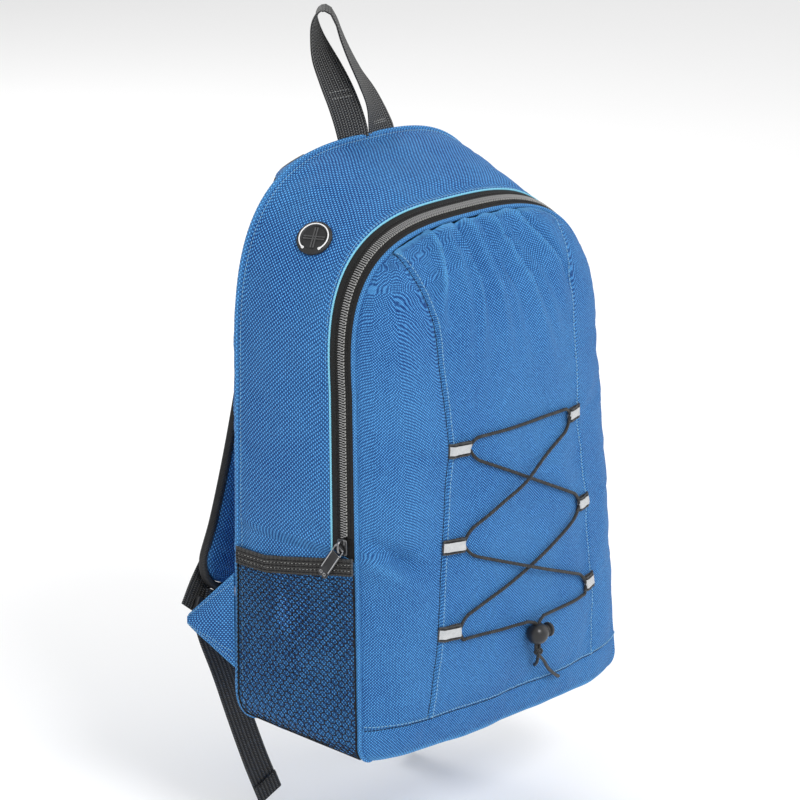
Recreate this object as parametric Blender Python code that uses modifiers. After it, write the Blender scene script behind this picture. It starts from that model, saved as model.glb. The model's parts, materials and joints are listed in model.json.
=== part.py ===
"""Daypack with a panel-loading front flap, side mesh pockets and a laced elastic cord.

Metres, +Z up. The origin is the centre of the base's underside. The front, with the
cord lacing, faces -Y; the wearer's back is at +Y. "Left" is the -X side.
"""

import math

import bmesh
import bpy
import numpy as np
from mathutils import Matrix, Vector

# ---- driving dimensions -------------------------------------------------------------
BASE_HALF_WIDTH = 0.150
FRONT_HALF_WIDTH = 0.136  # where the front outline's straight side ends
BACK_HALF_WIDTH = 0.1505
STRAIGHT_TOP = 0.28
FRONT_HEIGHT = 0.394
BACK_HEIGHT = 0.440
FRONT_ROUNDNESS = 3.0  # superellipse exponents of the two arches
BACK_ROUNDNESS = 2.6
FRONT_CORNER = 0.020  # base corner radii, seen from the front
BACK_CORNER = 0.045
FRONT_EDGE_Y = -0.062
FRONT_LEAN = 0.06  # the front edge leans back this much per metre of height
BACK_Y = 0.066

BULGE_FULL = 0.042  # how far the packed front stands proud of its own edge
BULGE_LOST_AT_BASE = 0.024
BULGE_RISE = 0.045
BULGE_EDGE = 0.984

CLOTH = 0.0014
GAP = 0.0004
FOLD_Z = 0.172  # the line the opened front folds down along
HEM_Z = 0.026

ZIP_BAND = 0.024  # outer tape, coil and inner tape together
ZIP_COIL = 0.0034  # one half of the coil
ZIP_END_Z = 0.160
SLIDER_Z = 0.166
PULL_LENGTH = 0.031
PULL_LEAN = math.radians(38)  # the pull lies back from the zip, over the pocket's elastic

POCKET_REAR_Z = 0.150
POCKET_FRONT_Z = 0.158
ELASTIC_WIDTH = 0.0125

CORD_RADIUS = 0.0013
CORD_REST = 0.0026  # the cord's axis in front of the bulged surface
CORD_CROSSING = 0.0034  # how much higher one strand lies where two cross
LOOP_HEIGHTS = {"upper": 0.233, "middle": 0.160, "lower": 0.094}
LOOP_REACH = 0.018
LOOP_WIDTH = 0.0115

LOCK_X, LOCK_Z = 0.005, 0.074
LOCK_RADIUS = 0.0088
LOCK_CLEARANCE = 0.0012
BORE_RADIUS = 0.0046
STEM_RADIUS = 0.0042
CAP_RADIUS = 0.0054
SPRING_RADIUS = 0.0028
SPRING_WIRE = 0.00028
KNOT_RADIUS = 0.0040

PORT_DEPTH, PORT_STATION = 0.5, 1.48
PORT_RADIUS = 0.0140
PORT_HOLE_RADIUS = 0.0100

WEBBING = 0.030
STRAP_WIDTH = 0.056
STRAP_THICK = 0.009
BINDING_RADIUS = 0.0034
LADDER_LOCK = (0.036, 0.0034, 0.024)

# The right strap's centres, from the top seam down to its lower end.
STRAP_LINE = [
    Vector((0.062, 0.0735, 0.424)),
    Vector((0.063, 0.084, 0.396)),
    Vector((0.065, 0.094, 0.355)),
    Vector((0.069, 0.102, 0.305)),
    Vector((0.077, 0.1075, 0.254)),
    Vector((0.090, 0.1105, 0.195)),
    Vector((0.105, 0.1115, 0.145)),
    Vector((0.1165, 0.1115, 0.118)),
]
# The hanging webbing's centres, from the ladder lock down; X is outwards.
TAIL_LINE = [
    (0.0, 0.0045, -0.002),
    (-0.007, 0.0055, -0.020),
    (-0.019, 0.0045, -0.050),
    (-0.0315, 0.001, -0.090),
    (-0.0445, -0.003, -0.130),
    (-0.058, -0.006, -0.165),
]
# The haul loop's centres as (x, z) from its foot: up one leg, over and down the other.
HAUL_LINE = [
    (-0.0148, 0.0),
    (-0.0225, 0.014),
    (-0.034, 0.034),
    (-0.046, 0.056),
    (-0.055, 0.077),
    (-0.0575, 0.0905),
    (-0.052, 0.1025),
    (-0.043, 0.1025),
    (-0.0375, 0.0905),
    (-0.027, 0.076),
    (-0.012, 0.050),
    (0.002, 0.024),
    (0.0148, 0.0),
]
HAUL_TWIST_HEIGHT = 0.075  # above this the webbing lies edge-on to the front
WING_TIP = Vector((0.157, 0.1115, 0.077))
WING_SEAM = (0.046, 0.121)  # heights of its seam's two ends
ADJUSTER_LINE = [
    Vector((0.1535, 0.1165, 0.0800)),
    Vector((0.1490, 0.1185, 0.0900)),
    Vector((0.1430, 0.1195, 0.1020)),
]
ADJUSTER_WIDTH = 0.025

BLUE = (0.012, 0.115, 0.52)
BLACK = (0.012, 0.012, 0.013)
CENTRE = Vector((0, 0, 0.2))

# ---- scene and materials ------------------------------------------------------------
for old in list(bpy.data.objects):
    bpy.data.objects.remove(old)

PARTS = bpy.data.collections.new("daypack")
CUTTERS = bpy.data.collections.new("cutters")
for group in (PARTS, CUTTERS):
    bpy.context.scene.collection.children.link(group)


def material(name, colour, roughness, metallic=0.0):
    made = bpy.data.materials.new(name)
    made.use_nodes = True
    shader = made.node_tree.nodes["Principled BSDF"]
    shader.inputs["Base Color"].default_value = (*colour, 1)
    shader.inputs["Roughness"].default_value = roughness
    shader.inputs["Metallic"].default_value = metallic
    return made


BODY_CLOTH = material("body_cloth", BLUE, 0.8)
BLACK_CLOTH = material("black_webbing", BLACK, 0.75)
MESH_CLOTH = material("pocket_mesh", BLACK, 0.7)
COIL = material("zip_coil", (0.03, 0.03, 0.033), 0.45)
METAL = material("dark_metal", (0.08, 0.08, 0.085), 0.35, 0.9)
SPRING_STEEL = material("spring_steel", (0.5, 0.5, 0.5), 0.3, 1.0)
MOULDED = material("moulded_plastic", (0.015, 0.015, 0.016), 0.4)
RUBBER = material("rubber", (0.01, 0.01, 0.011), 0.6)
REFLECTIVE = material("reflective_tape", (0.62, 0.64, 0.66), 0.4)
CORD = material("elastic_cord", (0.02, 0.02, 0.021), 0.7)
FOAM = material("foam", (0.75, 0.75, 0.72), 0.9)


def add(name, mesh, finish, collection=None):
    """A new object on this mesh, in the parts' collection unless another is given."""
    made = bpy.data.objects.new(name, mesh)
    (collection or PARTS).objects.link(made)
    made.data.materials.append(finish)
    return made


def evaluated_mesh(obj):
    """A finished mesh of an object with its modifiers, caps welded; the object is removed."""
    bpy.context.view_layer.update()
    graph = bpy.context.evaluated_depsgraph_get()
    mesh = bpy.data.meshes.new_from_object(obj.evaluated_get(graph))
    mesh.transform(obj.matrix_world)
    bpy.data.objects.remove(obj)
    work = bmesh.new()
    work.from_mesh(mesh)
    bmesh.ops.remove_doubles(work, verts=work.verts, dist=1e-6)
    bmesh.ops.recalc_face_normals(work, faces=work.faces)
    work.to_mesh(mesh)
    work.free()
    return mesh


def set_origin(obj, point):
    """Moves the object's origin to a joint's axis without moving its shape."""
    obj.data.transform(Matrix.Translation(-Vector(point)))
    obj.location = point
    return obj


def sheet(name, rows, thickness, finish, outward_from=CENTRE, offset=-1.0):
    """Cloth or board: an open surface through rows of points, thickened inwards."""
    work = bmesh.new()
    grid = [[work.verts.new(point) for point in row] for row in rows]
    for low, high in zip(grid, grid[1:]):
        for i in range(len(low) - 1):
            work.faces.new((low[i], low[i + 1], high[i + 1], high[i]))
    work.normal_update()
    facing = sum(f.normal.dot(f.calc_center_median() - outward_from) for f in work.faces)
    if facing < 0:
        bmesh.ops.reverse_faces(work, faces=work.faces)
    mesh = bpy.data.meshes.new(name)
    work.to_mesh(mesh)
    work.free()
    made = add(name, mesh, finish)
    solid = made.modifiers.new("thickness", "SOLIDIFY")
    solid.thickness = thickness
    solid.offset = offset
    return made


def tube(name, points, radius, finish, closed=False, collection=None):
    """A round cord through the points, with filled ends, as a mesh."""
    data = bpy.data.curves.new(name, "CURVE")
    data.dimensions = "3D"
    data.bevel_depth = radius
    data.bevel_resolution = 2
    data.use_fill_caps = not closed
    spline = data.splines.new("POLY")
    spline.points.add(len(points) - 1)
    for spot, point in zip(spline.points, points):
        spot.co = (*point, 1)
    spline.use_cyclic_u = closed
    curve = bpy.data.objects.new(name + "_path", data)
    PARTS.objects.link(curve)
    return add(name, evaluated_mesh(curve), finish, collection)


def box_mesh(name, size, centre, turn=None):
    """A box of this size, turned and then moved to its centre."""
    work = bmesh.new()
    bmesh.ops.create_cube(work, size=1)
    bmesh.ops.scale(work, vec=size, verts=work.verts)
    if turn:
        bmesh.ops.transform(work, matrix=turn, verts=work.verts)
    bmesh.ops.translate(work, vec=centre, verts=work.verts)
    mesh = bpy.data.meshes.new(name)
    work.to_mesh(mesh)
    work.free()
    return mesh


def rod_mesh(name, radius, length, centre, axis, segments=20):
    """A capped cylinder along the axis."""
    work = bmesh.new()
    bmesh.ops.create_cone(
        work, cap_ends=True, segments=segments, radius1=radius, radius2=radius, depth=length
    )
    turn = Vector((0, 0, 1)).rotation_difference(Vector(axis)).to_matrix().to_4x4()
    bmesh.ops.transform(work, matrix=Matrix.Translation(centre) @ turn, verts=work.verts)
    mesh = bpy.data.meshes.new(name)
    work.to_mesh(mesh)
    work.free()
    return mesh


def ball_mesh(name, radius, centre, stretch=(1, 1, 1), segments=20, rings=12):
    """A ball, stretched along the axes."""
    work = bmesh.new()
    bmesh.ops.create_uvsphere(work, u_segments=segments, v_segments=rings, radius=radius)
    bmesh.ops.scale(work, vec=stretch, verts=work.verts)
    bmesh.ops.translate(work, vec=centre, verts=work.verts)
    mesh = bpy.data.meshes.new(name)
    work.to_mesh(mesh)
    work.free()
    return mesh


def combine(target, mesh, operation):
    """Cuts the mesh from the target, or joins it on, with an exact Boolean."""
    other = add(f"{target.name}_{operation.lower()}_{len(CUTTERS.objects)}", mesh, MOULDED, CUTTERS)
    other.hide_render = True
    other.display_type = "WIRE"
    step = target.modifiers.new(operation.lower(), "BOOLEAN")
    step.operation = operation
    step.solver = "EXACT"
    step.object = other
    return target


# ---- the bag's surfaces ---------------------------------------------------------------
def arch_table(half_width, height, roundness):
    """Points up the left half of an arch, evenly spaced along it."""
    angle = np.linspace(0, math.pi / 2, 400)
    x = -half_width * np.cos(angle) ** (2 / roundness)
    z = STRAIGHT_TOP + (height - STRAIGHT_TOP) * np.sin(angle) ** (2 / roundness)
    run = np.concatenate([[0], np.cumsum(np.hypot(np.diff(x), np.diff(z)))])
    return run / run[-1], x, z


FRONT_ARCH = arch_table(FRONT_HALF_WIDTH, FRONT_HEIGHT, FRONT_ROUNDNESS)
BACK_ARCH = arch_table(BACK_HALF_WIDTH, BACK_HEIGHT, BACK_ROUNDNESS)


def front_edge_y(z):
    return FRONT_EDGE_Y + FRONT_LEAN * z


def edge_point(level, top_half_width, corner, arch):
    """(x, z) on the left edge. Level -1 to 0 is the base corner, 0 to 1 the side, 1 to 2 the arch."""
    if level < 0:
        angle = (level + 1) * math.pi / 2
        return (
            -(BASE_HALF_WIDTH - corner + corner * math.sin(angle)),
            corner - corner * math.cos(angle),
        )
    if level <= 1:
        z = corner + (STRAIGHT_TOP - corner) * level
        spread = (top_half_width - BASE_HALF_WIDTH) * level
        return -(BASE_HALF_WIDTH + spread), z
    run, x, z = arch
    return float(np.interp(level - 1, run, x)), float(np.interp(level - 1, run, z))


def side_point(station, depth):
    """The wrapped side and top: station -1 at the left base to 5 at the right base, 2 at the
    crown; depth 0 at the front edge to 1 at the back edge."""
    level = station if station <= 2 else 4 - station
    side = 1 if station <= 2 else -1
    fx, fz = edge_point(level, FRONT_HALF_WIDTH, FRONT_CORNER, FRONT_ARCH)
    bx, bz = edge_point(level, BACK_HALF_WIDTH, BACK_CORNER, BACK_ARCH)
    front = Vector((side * fx, front_edge_y(fz), fz))
    back = Vector((side * bx, BACK_Y, bz))
    return front.lerp(back, depth)


def side_normal(station, depth):
    along = side_point(station + 0.01, depth) - side_point(station - 0.01, depth)
    across = side_point(station, depth + 0.01) - side_point(station, depth - 0.01)
    return along.cross(across).normalized()


def side_offset(station, depth, lift):
    return side_point(station, depth) + side_normal(station, depth) * lift


def half_width(z):
    """Half the front outline's width at this height."""
    if z < FRONT_CORNER:
        drop = FRONT_CORNER - z
        return BASE_HALF_WIDTH - FRONT_CORNER + math.sqrt(FRONT_CORNER**2 - drop**2)
    if z < STRAIGHT_TOP:
        level = (z - FRONT_CORNER) / (STRAIGHT_TOP - FRONT_CORNER)
        return BASE_HALF_WIDTH + (FRONT_HALF_WIDTH - BASE_HALF_WIDTH) * level
    rise = min(1, (z - STRAIGHT_TOP) / (FRONT_HEIGHT - STRAIGHT_TOP))
    return FRONT_HALF_WIDTH * (1 - rise**FRONT_ROUNDNESS) ** (1 / FRONT_ROUNDNESS)


def outline_share(x, z):
    """0 on the centre line, 1 on the front outline."""
    if z <= STRAIGHT_TOP:
        return abs(x) / half_width(z)
    rise = (z - STRAIGHT_TOP) / (FRONT_HEIGHT - STRAIGHT_TOP)
    wide = abs(x) / FRONT_HALF_WIDTH
    return (wide**FRONT_ROUNDNESS + rise**FRONT_ROUNDNESS) ** (1 / FRONT_ROUNDNESS)


def front_y(x, z):
    """The packed front's bulged surface."""
    share = min(1, outline_share(x, z) / BULGE_EDGE)
    full = BULGE_FULL - BULGE_LOST_AT_BASE * math.exp(-z / BULGE_RISE)
    return front_edge_y(z) - full * (1 - share**2.4) ** 0.57


def on_front(x, z, lift=0.0):
    """A point this far in front of the bulged surface."""
    step = 0.002
    slope_x = (front_y(x + step, z) - front_y(x - step, z)) / (2 * step)
    slope_z = (front_y(x, z + step) - front_y(x, z - step)) / (2 * step)
    normal = Vector((slope_x, -1, slope_z)).normalized()
    return Vector((x, front_y(x, z), z)) + normal * lift


def seam_x(z):
    """How far each front seam is from the centre line."""
    heights = (0.0, 0.03, 0.094, 0.162, 0.235, 0.335, 0.394)
    offsets = (0.099, 0.097, 0.090, 0.083, 0.074, 0.080, 0.091)
    return float(np.interp(z, heights, offsets))


def spaced(low, high, count):
    return [low + (high - low) * i / (count - 1) for i in range(count)]


# ---- shell ------------------------------------------------------------------------------
def flat_outline(inset, corner):
    """The back outline, drawn in by inset, from the left base round to the right base."""
    stations = spaced(-1, 0, 6) + spaced(0.25, 1, 4) + spaced(1.1, 2, 10)
    left = []
    for station in stations:
        x, z = edge_point(station, BACK_HALF_WIDTH, corner, BACK_ARCH)
        reach = Vector((x, z - 0.2)).length
        left.append(Vector((x, z - 0.2)) * (1 - inset / reach) + Vector((0, 0.2)))
    right = [Vector((-p.x, p.y)) for p in reversed(left[:-1])]
    return left + right


def board(name, inset, near, far, finish):
    """A flat board in the shape of the back, between two Y planes."""
    data = bpy.data.curves.new(name, "CURVE")
    data.dimensions = "2D"
    data.fill_mode = "BOTH"
    data.extrude = (far - near) / 2
    spline = data.splines.new("POLY")
    outline = flat_outline(inset, BACK_CORNER)
    spline.points.add(len(outline) - 1)
    for spot, point in zip(spline.points, outline):
        spot.co = (point.x, point.y, 0, 1)
    spline.use_cyclic_u = True
    curve = bpy.data.objects.new(name + "_outline", data)
    PARTS.objects.link(curve)
    curve.rotation_euler = (math.pi / 2, 0, 0)
    curve.location = (0, (near + far) / 2, 0)
    return add(name, evaluated_mesh(curve), finish)


def make_back():
    """The cloth panel against the wearer's back, and the foam board inside it."""
    board("back_panel", 0.0, BACK_Y + GAP, BACK_Y + GAP + 0.002, BODY_CLOTH)
    board("back_foam", 0.012, BACK_Y - 0.005, BACK_Y - GAP / 2, FOAM)


def zip_stations(end):
    """Stations along one side of the arch to the other, from the zip's ends."""
    return spaced(end, 1, 5) + spaced(1.1, 2.9, 19) + spaced(3, 4 - end, 5)


def station_at(z, depth):
    """The left side's station at this height."""
    low, high = 0.0, 1.0
    for _ in range(40):
        middle = (low + high) / 2
        if side_point(middle, depth).z < z:
            low = middle
        else:
            high = middle
    return low


ZIP_DEPTH = ZIP_BAND / (BACK_Y - FRONT_EDGE_Y)
ZIP_END = station_at(ZIP_END_Z, ZIP_DEPTH / 2)
FLAP_END = station_at(FOLD_Z, 0)


def make_gusset():
    """One strip up the left side, over the top and down the right, with the zip let into it."""
    full = spaced(-1, 0, 5) + spaced(0.2, ZIP_END - 0.004, 3)
    zipped = [ZIP_END] + spaced(ZIP_END + 0.2, 1, 3) + spaced(1.125, 2, 8)
    left = [(s, 0.005) for s in full] + [(s, ZIP_DEPTH + 0.004) for s in zipped]
    right = [(4 - s, start) for s, start in reversed(left[:-1])]
    rows = [
        [side_point(station, depth) for depth in spaced(start, 0.992, 5)]
        for station, start in left + right
    ]
    gusset = sheet("side_top_gusset", rows, CLOTH, BODY_CLOTH)
    centre = side_point(PORT_STATION, PORT_DEPTH)
    normal = side_normal(PORT_STATION, PORT_DEPTH)
    hole = rod_mesh("port_hole", PORT_HOLE_RADIUS, 0.02, centre, normal, 24)
    combine(gusset, hole, "DIFFERENCE")


def make_port():
    """The rubber grommet: a rim outside, a neck through the cloth, and a slit membrane."""
    centre = side_point(PORT_STATION, PORT_DEPTH)
    normal = side_normal(PORT_STATION, PORT_DEPTH)
    rim = rod_mesh("port_rim", PORT_RADIUS, 0.0022, centre + normal * 0.0022, normal, 28)
    port = add("cable_port", rim, RUBBER)
    combine(port, rod_mesh("neck", 0.0096, 0.0068, centre - normal * 0.0010, normal, 24), "UNION")
    flange = rod_mesh("flange", 0.0125, 0.0012, centre - normal * 0.0044, normal, 24)
    combine(port, flange, "UNION")
    level = Vector((0, 0, 1)).cross(normal).normalized()
    for direction in (level, level.cross(normal)):
        turn = Vector((1, 0, 0)).rotation_difference(direction).to_matrix().to_4x4()
        combine(port, box_mesh("slit", (0.015, 0.0008, 0.0008), centre, turn), "DIFFERENCE")
        port.modifiers[-1].object.data.transform(Matrix.Translation(normal * 0.0034))


def make_base():
    """The flat base, from the front's lower edge back to the back panel."""
    rows = []
    for share in spaced(0, 1, 7):
        row = []
        for across in spaced(-1, 1, 13):
            front = Vector((across * (BASE_HALF_WIDTH - FRONT_CORNER - 0.001), 0, 0))
            front.y = front_y(front.x, 0.0) + 0.0022
            rear = Vector((across * (BASE_HALF_WIDTH - BACK_CORNER - 0.001), BACK_Y - 0.001, 0))
            row.append(front.lerp(rear, share))
        rows.append(row)
    sheet("base_panel", rows, CLOTH, BODY_CLOTH)


def front_rows(bottom, top, side, count_z, count_x):
    """Rows of the front between two heights: the centre panel, or the one left or right of it."""
    rows = []
    for z in spaced(bottom, top, count_z):
        outer = half_width(z) * BULGE_EDGE - GAP / 2
        seam = seam_x(z)
        if side == 0:
            xs = spaced(-seam + GAP / 2, seam - GAP / 2, count_x)
        else:
            xs = [side * x for x in spaced(seam + GAP / 2, outer, count_x)]
        rows.append([Vector((x, front_y(x, z), z)) for x in xs])
    return rows


def centre_flap_rows(count_z, count_x):
    """Columns that run from the fold to the arch, so the top row follows the zip."""
    columns = []
    for across in spaced(-1, 1, count_x):
        top = FRONT_HEIGHT
        for _ in range(6):
            wide = min(1, abs(across) * seam_x(top) / FRONT_HALF_WIDTH)
            rise = (1 - wide**FRONT_ROUNDNESS) ** (1 / FRONT_ROUNDNESS)
            top = STRAIGHT_TOP + rise * (FRONT_HEIGHT - STRAIGHT_TOP) - 0.0022
        column = []
        for share in spaced(0, 1, count_z):
            z = FOLD_Z + GAP / 2 + (top - FOLD_Z - GAP / 2) * math.sin(share * math.pi / 2)
            x = across * (seam_x(z) - GAP / 2)
            column.append(Vector((x, front_y(x, z), z)))
        columns.append(column)
    return columns


def band_rows():
    """Rows of the band below the hem, the full width of the front."""
    rows = []
    for z in spaced(GAP, HEM_Z - GAP / 2, 4):
        wide = half_width(z) * BULGE_EDGE - GAP / 2
        rows.append([Vector((x, front_y(x, z), z)) for x in spaced(-wide, wide, 17)])
    return rows


def make_front():
    """The front in seven pieces: a base band, and three panels below and above the fold."""
    sheet("front_base_band", band_rows(), CLOTH, BODY_CLOTH)
    low, high = HEM_Z + GAP / 2, FOLD_Z - GAP / 2
    sheet("front_lower_centre", front_rows(low, high, 0, 8, 9), CLOTH, BODY_CLOTH)
    sheet("front_lower_left", front_rows(low, high, -1, 8, 6), CLOTH, BODY_CLOTH)
    sheet("front_lower_right", front_rows(low, high, 1, 8, 6), CLOTH, BODY_CLOTH)
    sheet("front_flap_centre", centre_flap_rows(11, 11), CLOTH, BODY_CLOTH)
    low, high = FOLD_Z + GAP / 2, 0.380
    sheet("front_flap_left", front_rows(low, high, -1, 11, 6), CLOTH, BODY_CLOTH)
    sheet("front_flap_right", front_rows(low, high, 1, 11, 6), CLOTH, BODY_CLOTH)


def zip_strip(name, end, start, stop, thickness, finish, lift=0.0):
    """A strip of the zip, start to stop metres behind the front edge."""
    scale = BACK_Y - FRONT_EDGE_Y
    rows = [
        [side_offset(station, start / scale, lift), side_offset(station, stop / scale, lift)]
        for station in zip_stations(end)
    ]
    return sheet(name, rows, thickness, finish)


def make_zip():
    """Two tapes and two halves of a coil, let in between the front and the gusset."""
    middle = ZIP_BAND / 2
    inner_end = FLAP_END + 0.004
    zip_strip("zip_tape_inner", inner_end, 0.0006, middle - ZIP_COIL - GAP, 0.0008, BLACK_CLOTH)
    zip_strip("zip_coil_inner", inner_end, middle - ZIP_COIL, middle - GAP / 2, 0.0018, COIL)
    zip_strip("zip_coil_outer", ZIP_END, middle + GAP / 2, middle + ZIP_COIL, 0.0018, COIL)
    zip_strip("zip_tape_outer", ZIP_END, middle + ZIP_COIL + GAP, ZIP_BAND, 0.0008, BLACK_CLOTH)


def pocket_top(depth):
    return POCKET_FRONT_Z + (POCKET_REAR_Z - POCKET_FRONT_Z) * min(1, depth * 1.4)


def make_pocket(prefix, side):
    """A mesh pocket that lies over the lower side, closed by an elastic band at its mouth."""
    def station(s):
        return s if side < 0 else 4 - s

    depths = spaced(0.015, 0.985, 7)
    mesh_rows = []
    band_rows = []
    for depth in depths:
        top = station_at(pocket_top(depth), depth)
        seam = station_at(pocket_top(depth) - ELASTIC_WIDTH, depth)
        low = [-0.45, -0.2] + spaced(0, seam - 0.003, 5)
        mesh_rows.append([side_offset(station(s), depth, 0.0018) for s in low])
        band_rows.append([side_offset(station(s), depth, 0.0026) for s in spaced(seam, top, 3)])
    sheet(prefix + "_mesh_pocket", mesh_rows, 0.001, MESH_CLOTH)
    sheet(prefix + "_pocket_elastic", band_rows, 0.0018, BLACK_CLOTH)


# ---- lacing ----------------------------------------------------------------------------
def loop_end(side, row):
    """Where the cord runs through a loop's inner end."""
    z = LOOP_HEIGHTS[row]
    return side * (seam_x(z) - LOOP_REACH + 0.002), z


def make_cord_loop(prefix, side, row):
    """Reflective tape folded round the cord, with both ends sewn in the seam."""
    z = LOOP_HEIGHTS[row]
    seam = seam_x(z) - 0.0005
    bend = LOOP_REACH - 0.002
    profile = [(0.0, 0.0006), (bend * 0.5, 0.0006), (bend, 0.0006)]
    for angle in spaced(-60, 60, 5):
        turn = math.radians(angle)
        profile.append((bend + 0.002 * math.cos(turn), 0.0026 + 0.002 * math.sin(turn)))
    profile += [(bend, 0.0046), (bend * 0.5, 0.0036), (0.0, 0.0022)]
    rows = []
    for height in (z - LOOP_WIDTH / 2, z, z + LOOP_WIDTH / 2):
        rows.append([on_front(side * (seam - reach), height, lift) for reach, lift in profile])
    middle = on_front(side * (seam - bend), z, CORD_REST)
    sheet(f"{prefix}_{row}_cord_loop", rows, 0.0006, REFLECTIVE, outward_from=middle)


def strand(start, end, lift_from, lift_to, bump=0.0, count=9):
    """Points of the cord between two loops, over the bulged front; bump lifts it at a crossing."""
    points = []
    for share in spaced(0, 1, count):
        x = start[0] + (end[0] - start[0]) * share
        z = start[1] + (end[1] - start[1]) * share
        lift = lift_from + (lift_to - lift_from) * share
        lift += bump * math.exp(-(((share - 0.5) / 0.16) ** 2))
        points.append(on_front(x, z, lift))
    return points


def lock_centre():
    return Vector((LOCK_X, front_y(LOCK_X, LOCK_Z) - LOCK_RADIUS - LOCK_CLEARANCE, LOCK_Z))


def make_elastic_cord():
    """One cord: lock, lower left, middle right, upper left, upper right, middle left, lower right, lock."""
    half = LOOP_WIDTH / 2 + 0.0015
    centre = lock_centre()
    gap = 0.0019
    path = [centre + Vector((-gap, 0, dz)) for dz in (-0.0110, 0.0, 0.0095)]
    stops = [(-1, "lower", 1), (1, "middle", 1), (-1, "upper", 1),
             (1, "upper", -1), (-1, "middle", -1), (1, "lower", -1)]
    bumps = [0.0, 0.0, 0.0, 0.0, CORD_CROSSING, CORD_CROSSING]
    place = (LOCK_X - 0.006, LOCK_Z + 0.011)
    lift = 0.006
    for (side, row, rising), bump in zip(stops, bumps):
        x, z = loop_end(side, row)
        first, last = (x, z - half * rising), (x, z + half * rising)
        path += strand(place, first, lift, CORD_REST, bump)[1 if len(path) == 3 else 0:]
        path += [on_front(x, z, CORD_REST)]
        place, lift = last, CORD_REST
    path += strand(place, (LOCK_X + 0.006, LOCK_Z + 0.011), CORD_REST, 0.006)[:-1]
    path += [centre + Vector((gap, 0, dz)) for dz in (0.0095, 0.0, -0.0110)]
    tube("elastic_cord", path, CORD_RADIUS, CORD)


def make_cord_knot():
    """The knot under the lock, and the cord's two cut ends."""
    z = LOCK_Z - 0.0155
    middle = Vector((LOCK_X + 0.001, lock_centre().y, z))
    ball = ball_mesh("knot", KNOT_RADIUS, middle, (1.2, 1, 1), 14, 8)
    knot = add("cord_knot", ball, CORD)
    short = [middle, middle + Vector((0.001, 0.003, -0.008)), on_front(0.0125, 0.0445, 0.0022)]
    long = [middle, on_front(0.014, 0.050, 0.0090), on_front(0.024, 0.040, 0.0060),
            on_front(0.036, 0.031, 0.0040), on_front(0.047, 0.0245, 0.0026)]
    for number, points in enumerate((short, long)):
        tail = tube(f"tail_{number}", points, CORD_RADIUS, CORD)
        mesh = tail.data.copy()
        bpy.data.objects.remove(tail)
        combine(knot, mesh, "UNION")


def make_cord_lock():
    """A ball with a hole down through it for the two cords and a sprung plunger across it."""
    centre = lock_centre()
    across = Vector((1, 0, 0))
    barrel = add("cord_lock_barrel", ball_mesh("ball", LOCK_RADIUS, centre, (1, 1, 0.94)), MOULDED)
    combine(barrel, box_mesh("cord_way", (0.0082, 0.0036, 0.03), centre), "DIFFERENCE")
    bore = rod_mesh("plunger_bore", BORE_RADIUS, 0.0192, centre + across * 0.0024, across, 20)
    combine(barrel, bore, "DIFFERENCE")
    set_origin(barrel, centre)

    stem = rod_mesh("stem", STEM_RADIUS, 0.0168, centre + across * 0.0038, across, 20)
    plunger = add("cord_lock_plunger", stem, MOULDED)
    cap = rod_mesh("cap", CAP_RADIUS, 0.0034, centre + across * 0.0132, across, 20)
    combine(plunger, cap, "UNION")
    window = box_mesh("window", (0.0102, 0.0036, 0.02), centre + across * 0.0015)
    combine(plunger, window, "DIFFERENCE")
    set_origin(plunger, centre)

    turns, per_turn = 2.5, 12
    coil = []
    for i in range(int(turns * per_turn) + 1):
        angle = i / per_turn * 2 * math.pi
        along = -0.0068 + 0.0018 * i / (turns * per_turn)
        ring = Vector((0, math.cos(angle), math.sin(angle))) * SPRING_RADIUS
        coil.append(centre + across * along + ring)
    tube("cord_lock_spring", coil, SPRING_WIRE, SPRING_STEEL)


# ---- zip slider and its pull ---------------------------------------------------------
def zip_line_direction():
    depth = ZIP_DEPTH / 2
    return (side_point(1, depth) - side_point(ZIP_END, depth)).normalized()


def slider_frame():
    """(place, up along the zip, outwards, across) for the slider at rest."""
    depth = ZIP_DEPTH / 2
    station = station_at(SLIDER_Z, depth)
    up = zip_line_direction()
    out = side_normal(station, depth)
    return side_point(station, depth), up, out, out.cross(up).normalized()


def make_slider():
    """A low block on the coil with a wire bridge over it."""
    place, up, out, across = slider_frame()
    turn = Matrix((across, out, up)).transposed().to_4x4()
    block = box_mesh("body", (0.0095, 0.0022, 0.0125), place + out * 0.0022, turn)
    body = add("zip_slider", block, METAL)
    arch = [(0.0028, -0.0042), (0.0062, -0.0036), (0.0072, -0.0020),
            (0.0072, 0.0020), (0.0062, 0.0036), (0.0028, 0.0042)]
    bridge = tube("bridge", [place + out * b + up * c for b, c in arch], 0.0008, METAL)
    mesh = bridge.data.copy()
    bpy.data.objects.remove(bridge)
    combine(body, mesh, "UNION")
    set_origin(body, place)


def make_pull():
    """The pull hangs from the slider's bridge, over the pocket's elastic."""
    place, up, out, _ = slider_frame()
    hinge = place + out * 0.0048
    down = (Matrix.Rotation(-PULL_LEAN, 4, out) @ -up).normalized()
    flat = down.cross(out).normalized()
    face = down.cross(flat).normalized()
    turn = Matrix((flat, face, down)).transposed().to_4x4()
    tab_centre = hinge + down * (PULL_LENGTH / 2 - 0.0011)
    tab = box_mesh("tab", (0.0098, 0.0013, PULL_LENGTH), tab_centre, turn)
    body = add("zip_pull", tab, METAL)
    combine(body, box_mesh("eye", (0.0074, 0.01, 0.0046), hinge + down * 0.0031, turn), "DIFFERENCE")
    set_origin(body, hinge)


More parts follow.
